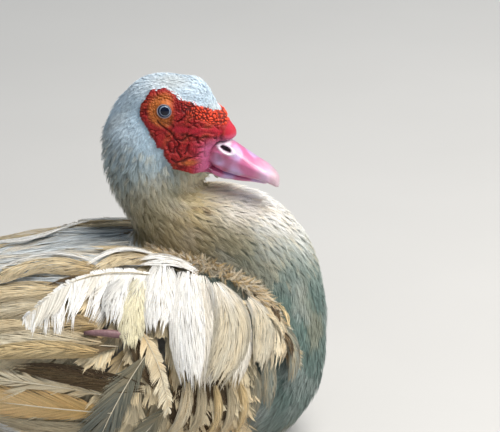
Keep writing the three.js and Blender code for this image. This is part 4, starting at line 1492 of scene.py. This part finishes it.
# A feather's colours at the root and the tip, the stain on its strands, and how much of it is stained. Most
# roots are painted darker than their tips, partly as painted shade where the feathers overlap.
LOOKS = {
    "white": (WHITE * 1.02, WHITE * 1.08, CREAM, 0.10),
    "streaked": (WHITE, blend(WHITE, CREAM, 0.5), GOLD, 0.34),
    # Painted shade: its grey-brown tip stands for the shade on the feather's lower half.
    "shaded_smoky": (WHITE, np.array([0.64, 0.59, 0.47]), blend(CREAM, GOLD, 0.4), 0.36),
    "cream": (WHITE * 0.92, blend(WHITE, CREAM, 0.35), TAN, 0.22),
    "pink": (CREAM * 0.9, PINK_WHITE, GOLD, 0.25),
    "yellow": (blend(WHITE, PALE_YELLOW, 0.3), blend(WHITE, PALE_YELLOW, 0.75), PALE_YELLOW, 0.4),
    "gold": (GOLD, np.array([0.86, 0.71, 0.46]), BROWN, 0.33),
    "amber": (np.array([0.70, 0.50, 0.24]), np.array([0.88, 0.70, 0.40]), GOLD, 0.35),
    "orange": (np.array([0.72, 0.45, 0.15]), np.array([0.88, 0.63, 0.33]), GOLD * 0.7, 0.32),
    "fringe": (blend(GOLD, CREAM, 0.5), np.array([0.86, 0.77, 0.58]), GOLD, 0.34),
    # Painted shade: the tan look's dark root stands for the deep shade under the feathers.
    "tan": (TAN * 0.4, np.array([0.80, 0.68, 0.46]), BROWN, 0.26),
    "brown": (BROWN, TAN * 0.7, GOLD * 0.6, 0.3),
    # Partly painted shade: the moss look is darkened like the shaded lower breast it borders, over its
    # grey-green colour.
    "moss": (OLIVE * 0.6, blend(PEWTER, GREY_GREEN, 0.5) * 0.75, TAN, 0.40),
    "green": (OLIVE * 0.45, PEWTER * 0.6, TAN, 0.3),
    "slate": (OLIVE * 0.4, blend(PEWTER, GREY_GREEN, 0.5) * 0.42, TAN, 0.26),
    "blue": (BLUE_WHITE * 0.85, blend(BLUE_WHITE, WHITE, 0.3), TAN, 0.18),
    # Painted shadow: a dark brown sheet laid where the coat has only deep shade.
    "dark": (BROWN * 0.5, BROWN * 0.9, GOLD * 0.4, 0.35),
}


# %% Lay the fill of each wing
COVER_STEP = 10.5
COVER_ROWS = np.arange(20, 112, 7.5)
FAN_MIDDLE = np.array([14.0, 18.0 * DEGREE_MM])
# The wing's front edge: angles off the top, and the X it comes forward to.
FRONT_ANGLES = [20, 33, 48, 74, 92, 112]
FRONT_EDGE = [20, 52, 70, 70, 42, 24]
REACHES = [0, 25, 60, 110, 180]
LENGTHS = [20, 28, 40, 54, 62]
HALVES = [6, 8, 9, 9, 9]


def fan_flow(x, angle):
    """The way a wing feather points: out from the shoulder, and more to the tail the further back it is."""
    out = np.array([x, angle * DEGREE_MM]) - FAN_MIDDLE
    reach = float(np.linalg.norm(out))
    back = float(smoothstep(0, -75, np.array(x)))
    flow = unit(out) * (1 - 0.85 * back) + np.array([-1, 0.22]) * 0.85 * back
    return unit(flow), reach


def wing_fill(coat, side, rng):
    for angle in COVER_ROWS:
        front = np.interp(angle, FRONT_ANGLES, FRONT_EDGE)
        for x in np.arange(front, -128, -COVER_STEP):
            spot = np.array([x + rng.normal() * 2.5, angle + rng.normal() * 1.8])
            flow, reach = fan_flow(*spot)
            length = np.interp(reach, REACHES, LENGTHS) * rng.uniform(0.85, 1.2)
            tip = spot + flow * length / np.array([1, DEGREE_MM])
            tip = np.minimum(tip, (72, 124))
            path, normals = path_on_bed(spot, tip, side, rng.normal() * 0.05, (-3, 0.6), 7)
            half = np.interp(reach, REACHES, HALVES)
            looks = ["gold", "tan"] if x > -85 else ["cream", "gold", "fringe", "streaked"]
            look = rng.choice(looks)
            vane(coat, rng, path, normals, (half, half), look, 0.6, (34, 12), 2.4, 1.1, 0.45)


# %% Name the soft feathers that show most
# Root and tip on the bed, half widths above and below the middle, bow, lifts at root and tip, dome,
# opening, barb length, shape, raggedness and look. Those further down lie on those before. The plumes with
# the dark look are sheets of painted shadow in the deep gaps between the feathers.
ROUND = (0.62, 0.5, 0.5)
BLADE = (0.6, 0.08, 0.3)
LONG = (0.5, 0.3, 0.4)
PLUMES = [
    # The first four plumes, and two further down, are dark sheets of painted shadow.
    ((42, 80), (34, 112), (26, 20), 0.0, (1, 1), 0, 14, 14, LONG, 0.2, "dark"),
    ((-12, 60), (8, 88), (9, 6), 0.0, (2.5, 2.5), 0, 14, 14, LONG, 0.2, "dark"),
    ((-8, 85), (-94, 82), (7, 8), 0.02, (4, 3), 0, 14, 18, LONG, 0.2, "dark"),
    ((-40, 35), (-70, 38), (6, 4), 0.0, (3, 3), 0, 14, 18, LONG, 0.2, "dark"),
    ((-58, 40), (-128, 42), (8, 8), 0.05, (2, 3), 1.5, 12, 22, LONG, 0.16, "gold"),
    ((-62, 48), (-130, 53), (7, 7), 0.03, (2, 4), 1.5, 14, 18, LONG, 0.16, "fringe"),
    ((-40, 58), (-136, 64), (10, 9), 0.05, (2, 4), 2, 14, 16, LONG, 0.16, "gold"),
    ((-38, 66), (-128, 73), (9, 6), 0.04, (3, 5), 2, 14, 16, LONG, 0.16, "fringe"),
    ((-40, 70), (-126, 77), (5, 8), 0.06, (5, 7), 1.5, 18, 14, LONG, 0.2, "amber"),
    ((-30, 108), (-130, 124), (9, 8), 0.0, (2, 3), 2, 12, 18, LONG, 0.1, "tan"),
    ((40, 26), (-36, 15), (6, 5), 0.06, (2, 3), 1.5, 12, 18, LONG, 0.16, "gold"),
    ((-33, 29), (-112, 32), (2, 17), 0.24, (2, 4), 2, 26, 18, LONG, 0.14, "gold"),
    ((-33, 27), (-110, 27), (2, 2.5), 0.26, (5, 6), 1, 6, 22, LONG, 0.1, "white"),
    ((8, 24), (-38, 30), (2, 11), 0.2, (3, 4), 2, 24, 16, LONG, 0.14, "gold"),
    ((8, 21), (-38, 26), (2, 2.5), 0.2, (5, 6), 1, 6, 22, LONG, 0.1, "white"),
    ((86, 80), (88, 114), (7, 6), -0.05, (1, 2), 1.5, 12, 13, ROUND, 0.25, "moss"),
    ((75, 84), (74, 118), (5, 5), -0.1, (1, 2), 1, 5, 15, BLADE, 0.1, "green"),
    ((65, 88), (62, 121), (3.5, 3.5), -0.12, (2, 4), 1.2, 4, 16, BLADE, 0.1, "amber"),
    ((57, 87), (48, 118), (3.5, 3.5), -0.14, (2.5, 4.5), 1.2, 4, 16, BLADE, 0.1, "tan"),
    ((47, 84), (37, 117), (3.2, 3.2), -0.14, (3, 5), 1.2, 4, 16, BLADE, 0.1, "amber"),
    ((36, 82), (21, 114), (4, 4), -0.14, (3.5, 5.5), 1.2, 4, 16, BLADE, 0.1, "tan"),
    ((26, 82), (8, 110), (5, 5), -0.14, (3.5, 5.5), 1.5, 5, 16, BLADE, 0.1, "fringe"),
    ((42, 32), (38, 82), (16, 16), 0.0, (2, 4), 3, 8, 14, ROUND, 0.12, "cream"),
    ((60, 42), (60, 84), (12, 12), -0.1, (2, 4), 3, 8, 14, ROUND, 0.12, "cream"),
    ((77, 48), (80, 86), (10, 9), -0.16, (3, 5), 2.5, 7, 13, ROUND, 0.12, "shaded_smoky"),
    ((89, 56), (94, 92), (9, 8), -0.12, (2, 3.5), 2, 12, 11, ROUND, 0.2, "fringe"),
    ((102, 72), (106, 106), (5, 8), -0.1, (1, 2), 1.5, 14, 12, ROUND, 0.25, "moss"),
    ((87, 48), (97, 69), (3.5, 2.5), -0.1, (5, 5.5), 0, 18, 10, LONG, 0.25, "dark"),
    ((99, 75), (105, 90), (2.5, 2.5), -0.1, (5, 5), 0, 18, 8, LONG, 0.25, "dark"),
    ((90, 47), (104, 74), (1, 3), -0.1, (5, 6), 1, 26, 8, LONG, 0.3, "amber"),
    ((88, 62), (99, 80), (1.5, 2), -0.1, (6, 7), 0.5, 26, 8, LONG, 0.3, "fringe"),
    ((52, 36), (46, 80), (14, 15), -0.2, (4, 7), 3, 9, 13, ROUND, 0.14, "shaded_smoky"),
    ((39, 25), (0, 26), (6, 9), 0.08, (4, 6), 2.5, 8, 14, ROUND, 0.12, "white"),
    ((13, 29), (4, 59), (13, 14), 0.0, (5, 8), 2.5, 9, 13, ROUND, 0.12, "white"),
    ((31, 33), (27, 81), (14, 13), 0.03, (6, 9), 3, 6, 14, ROUND, 0.08, "white"),
    ((-14, 36), (-26, 56), (12, 10), 0.03, (4, 7), 2.5, 14, 11, ROUND, 0.2, "white"),
    ((-4, 37), (-16, 66), (11, 11), 0.03, (5, 8), 2.5, 14, 10, ROUND, 0.2, "yellow"),
]
# Root and tip, half widths, bow, looseness, lifts, pointedness, the ribbons' angles at root and tip, and
# look.
VANES = [
    ((-24, 67), (-60, 67), (1, 9), 0.0, 0.2, (2, 3), 3.0, (30, 16), "brown"),
    ((-34, 90), (-136, 93), (7, 10), 0.02, 0.9, (2, 4), 2.4, (28, 14), "fringe"),
    ((-30, 98), (-152, 112), (16, 14), 0.02, 0.10, (3, 4), 3.2, (30, 12), "orange"),
    ((10, 94), (-16, 122), (11, 10), 0.05, 0.25, (3, 4), 3.0, (36, 14), "green"),
    ((-4, 70), (-40, 114), (16, 14), 0.05, 0.30, (4, 5), 3.0, (34, 14), "slate"),
    ((-7, 60), (11, 96), (11, 6), -0.08, 0.9, (5, 7), 2.0, (58, 40), "fringe"),
]


def show_feathers(coat, side, rng):
    for root, tip, halves, bow, lift, dome, opening, barb, shape, ragged, look in PLUMES:
        path, normals = path_on_bed(root, tip, side, bow, lift)
        pair = halves[::-1] if side < 0 else halves
        plume(coat, rng, path, normals, pair, look, dome, opening, barb, shape, ragged)
    for root, tip, halves, bow, loose, lift, tipness, angles, look in VANES:
        path, normals = path_on_bed(root, tip, side, bow, lift)
        pair = halves[::-1] if side < 0 else halves
        vane(coat, rng, path, normals, pair, look, loose, angles, tipness, 0.45, 1.0)


def hanging_fan(coat, side, rng):
    """The loose white feather behind the shoulder, whose long barbs hang apart below its shaft."""
    path, normals = path_on_bed((6, 34), (-90, 57), side, 0.17, (6, 7))
    for halves, angles, pitch, look in (((34, 4), (84, 62), 0.5, "white"), ((24, 3), (72, 50), 0.6, "cream")):
        pair = halves if side < 0 else halves[::-1]
        vane(coat, rng, path, normals, pair, look, 0.9, angles, 2.6, pitch, 0.9)


# %% Dress the wings
for name, side in SIDES.items():
    rng = np.random.default_rng(91 if side < 0 else 92)
    coat = Coat("wing_cover_" + name)
    wing_fill(coat, side, rng)
    coat.build(vane_material, "wing_feather", "scapulars_" + name, "wing_coverts_" + name)
    coat = Coat("wing_show_" + name)
    show_feathers(coat, side, rng)
    hanging_fan(coat, side, rng)
    coat.build(vane_material, "wing_feather", "secondaries_" + name)

# %% [markdown]
# ## Growing feathers
#
# In moult a new feather grows out of a waxy sheath. One purple-grey sheath shows in a parting of the
# coverts on each side. It is a rod of eight sides, bent along a path on the bed.

# %% Add the growing feathers' sheaths
SHEATH = ((-14, 63), (-46, 62), (5.5, 6.0))
SHEATH_RADII = [1.2, 2.5, 2.9, 2.8, 2.5, 2.0, 1.4]
graph = Graph("sheath")
sheath_material = graph.finish(
    Base_Color=graph.tinted((0.22, 0.12, 0.13), graph.noise(420, 3) * 0.9 + 0.55),
    Roughness=0.45,
    Normal=graph.bump(graph.noise(900), 0.0003),
)
for name, side in SIDES.items():
    root, tip, lift = SHEATH
    path, normals = path_on_bed(root, tip, side, 0.03, lift, len(SHEATH_RADII))
    bpy.ops.mesh.primitive_cylinder_add(vertices=8, radius=1, depth=1)
    sheath = bpy.context.object
    sheath.name = "sheath_" + name
    edit_all(sheath, bpy.ops.mesh.subdivide, number_cuts=5)
    bpy.ops.object.shade_smooth()
    rod = points_of(sheath)
    rod[:, :2] /= np.maximum(np.linalg.norm(rod[:, :2], axis=1, keepdims=True), 0.3)
    share = np.clip(rod[:, 2] + 0.5, 0, 1)
    centre = along_path(path, path, share)
    along = unit(along_path(path, np.gradient(path, axis=0), share))
    upright = unit(along_path(path, normals, share))
    aside = np.cross(upright, along)
    radius = np.interp(share, np.linspace(0, 1, len(SHEATH_RADII)), SHEATH_RADII) * MM
    move_points(sheath, centre + (aside * rod[:, :1] + upright * rod[:, 1:2]) * radius[:, None])
    dress(sheath, sheath_material, "wing_feather")

# %% [markdown]
# ## The wings' front edges
#
# Short stained tufts stand up where each wing meets the neck and breast, and hide the seam between large
# feathers and small ones.

# %% Ruffle the wings' front edges
# X, Y and Z along the edge, in millimetres.
EDGE_LINE = [[3, 22, 169], [38, 36, 163], [72, 44, 149], [93, 51, 131], [106, 62, 103], [110, 62, 94]]
EDGE_TUFTS = 1000
skin_tree = tree_of(skin)
for name, side in SIDES.items():
    rng = np.random.default_rng(101 if side < 0 else 102)
    coat = Coat("edge_tufts_" + name)
    line_of_edge = along_rows(EDGE_LINE, EDGE_TUFTS) * MM * np.array([1, side, 1])
    downward = unit(np.gradient(line_of_edge, axis=0))
    line_of_edge += rng.normal(size=line_of_edge.shape) * 1.8 * MM
    found = [skin_tree.find_nearest(point) for point in line_of_edge.tolist()]
    roots = np.array([hit[0] for hit in found])
    root_normals = np.array([hit[1] for hit in found])
    outward = unit(roots - np.array([14, side * 40, 150]) * MM)
    share = np.linspace(0, 1, EDGE_TUFTS)[:, None]
    flow = outward * 0.35 + downward * (2.6 * share - 0.9)
    flow = unit(flow + 0.3 * rng.normal(size=roots.shape))
    roots += root_normals * rng.uniform(1, 5, (EDGE_TUFTS, 1)) * MM
    colours = blend(GOLD, blend(CREAM, WHITE, 0.4), rng.uniform(0, 1, EDGE_TUFTS))
    colours *= rng.uniform(0.7, 1.15, (EDGE_TUFTS, 1))
    # Painted shade: about one tuft in seven is painted brown, for the dark gaps between the tufts and the
    # wing.
    colours = blend(colours, BROWN, 0.6 * (rng.uniform(size=EDGE_TUFTS) < 0.14))
    length = 6 + 6 * share[:, 0]
    fans(coat, roots, root_normals, length, 0.7, 5, 0.26, 1.8, 0.1, colours, rng, flow)
    coat.build(down_material, "wing_feather")

# %% [markdown]
# ## Back, flight feathers and tail
#
# Plumes lie in rows down the back. The flight feathers are vanes stacked down the edge of the folded wing,
# and the tail is a flat spread of vanes as wide as its solid.

# %% Lay the mantle along the back
coat = Coat("mantle")
rng = np.random.default_rng(95)
for angle in np.arange(-40, 41, 5.7):
    for x in np.arange(4, -190, -18.0):
        spot = np.array([x + rng.normal() * 5, abs(angle) + rng.normal()])
        side = -1 if angle < 0 else 1
        length = rng.uniform(52, 74)
        tip = (max(spot[0] - length, -238), spot[1] * 0.93 + rng.normal() * 1.5)
        path, normals = path_on_bed(spot, tip, side, rng.normal() * 0.05, (-2.5, 1.8), 7)
        look = "blue" if rng.uniform() < 0.8 else "cream"
        plume(coat, rng, path, normals, (6, 6), look, 1.0, 7, 24, LONG, 0.12, 0.5, 1.6)
coat.build(vane_material, "body_feather")

# %% Lay the flight feathers and the tail
FLIGHT_LINE = [[-92, 70, 100], [-135, 54, 117], [-172, 37, 134], [-210, 23, 134], [-248, 12, 129]]
FLIGHT_ROLL = math.radians(38)
FLIGHT_FEATHERS = 7
FLIGHT_STEPS = 12
for name, side in SIDES.items():
    coat = Coat("flight_feathers_" + name)
    rng = np.random.default_rng(97 if side < 0 else 98)
    core = along_rows(FLIGHT_LINE, FLIGHT_STEPS) * MM * np.array([1, side, 1])
    up = np.array([0, side * math.sin(FLIGHT_ROLL), math.cos(FLIGHT_ROLL)])
    down = np.array([0, side * math.cos(FLIGHT_ROLL), -math.sin(FLIGHT_ROLL)])
    for index in range(FLIGHT_FEATHERS):
        share = index / (FLIGHT_FEATHERS - 1)
        shift = down * (2 * share - 1) * 10 * MM + up * (1.4 - 2.4 * share) * MM
        shorten = np.linspace(0, 1, FLIGHT_STEPS)[:, None] * np.array([1, 0, 0]) * share * 34 * MM
        path = core + shift + shorten
        look = "white" if index < 3 else "pink"
        vane(coat, rng, path, np.tile(up, (FLIGHT_STEPS, 1)), (8, 8), look, 0.12, (34, 20), 3.2, 1.0, 1.3)
    coat.build(vane_material, "wing_feather", "primaries_" + name)

TAIL_BOX = [np.array(corner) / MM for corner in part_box("tail")]
TAIL_FEATHERS = 15
coat = Coat("tail_feathers")
rng = np.random.default_rng(99)
for index in range(TAIL_FEATHERS):
    share = 2 * index / (TAIL_FEATHERS - 1) - 1
    length = TAIL_BOX[0][0] + 4 + 14 * share**2
    tip = np.array([length, share * (TAIL_BOX[1][1] - 8), (TAIL_BOX[0][2] + TAIL_BOX[1][2]) / 2])
    root = np.array([-186, share * 20, 112])
    t = np.linspace(0, 1, 9)[:, None]
    path = root * (1 - t) + tip * t + np.array([0, 0, 1]) * (2.2 * (1 - abs(share)) - 3 * t * abs(share))
    vane(coat, rng, path * MM, np.tile([0.0, 0, 1], (9, 1)), (9, 9), "white", 0.12, (40, 22), 3.4, 1.0, 1.4)
coat.build(vane_material, "wing_feather", "tail")

# %% [markdown]
# ## The floor
#
# The floor catches the duck's shadow.

# %% Lay the floor
bpy.ops.mesh.primitive_plane_add(size=8, location=(0, 0, 0))
floor = bpy.context.object
floor.name = "floor"
graph = Graph("floor")
floor_material = graph.finish(
    Base_Color=graph.tinted((0.52, 0.51, 0.50), graph.noise(6, 2) * 0.06 + 0.97), Roughness=0.8
)
floor.data.materials.append(floor_material)

# %% Finish
bpy.context.view_layer.update()
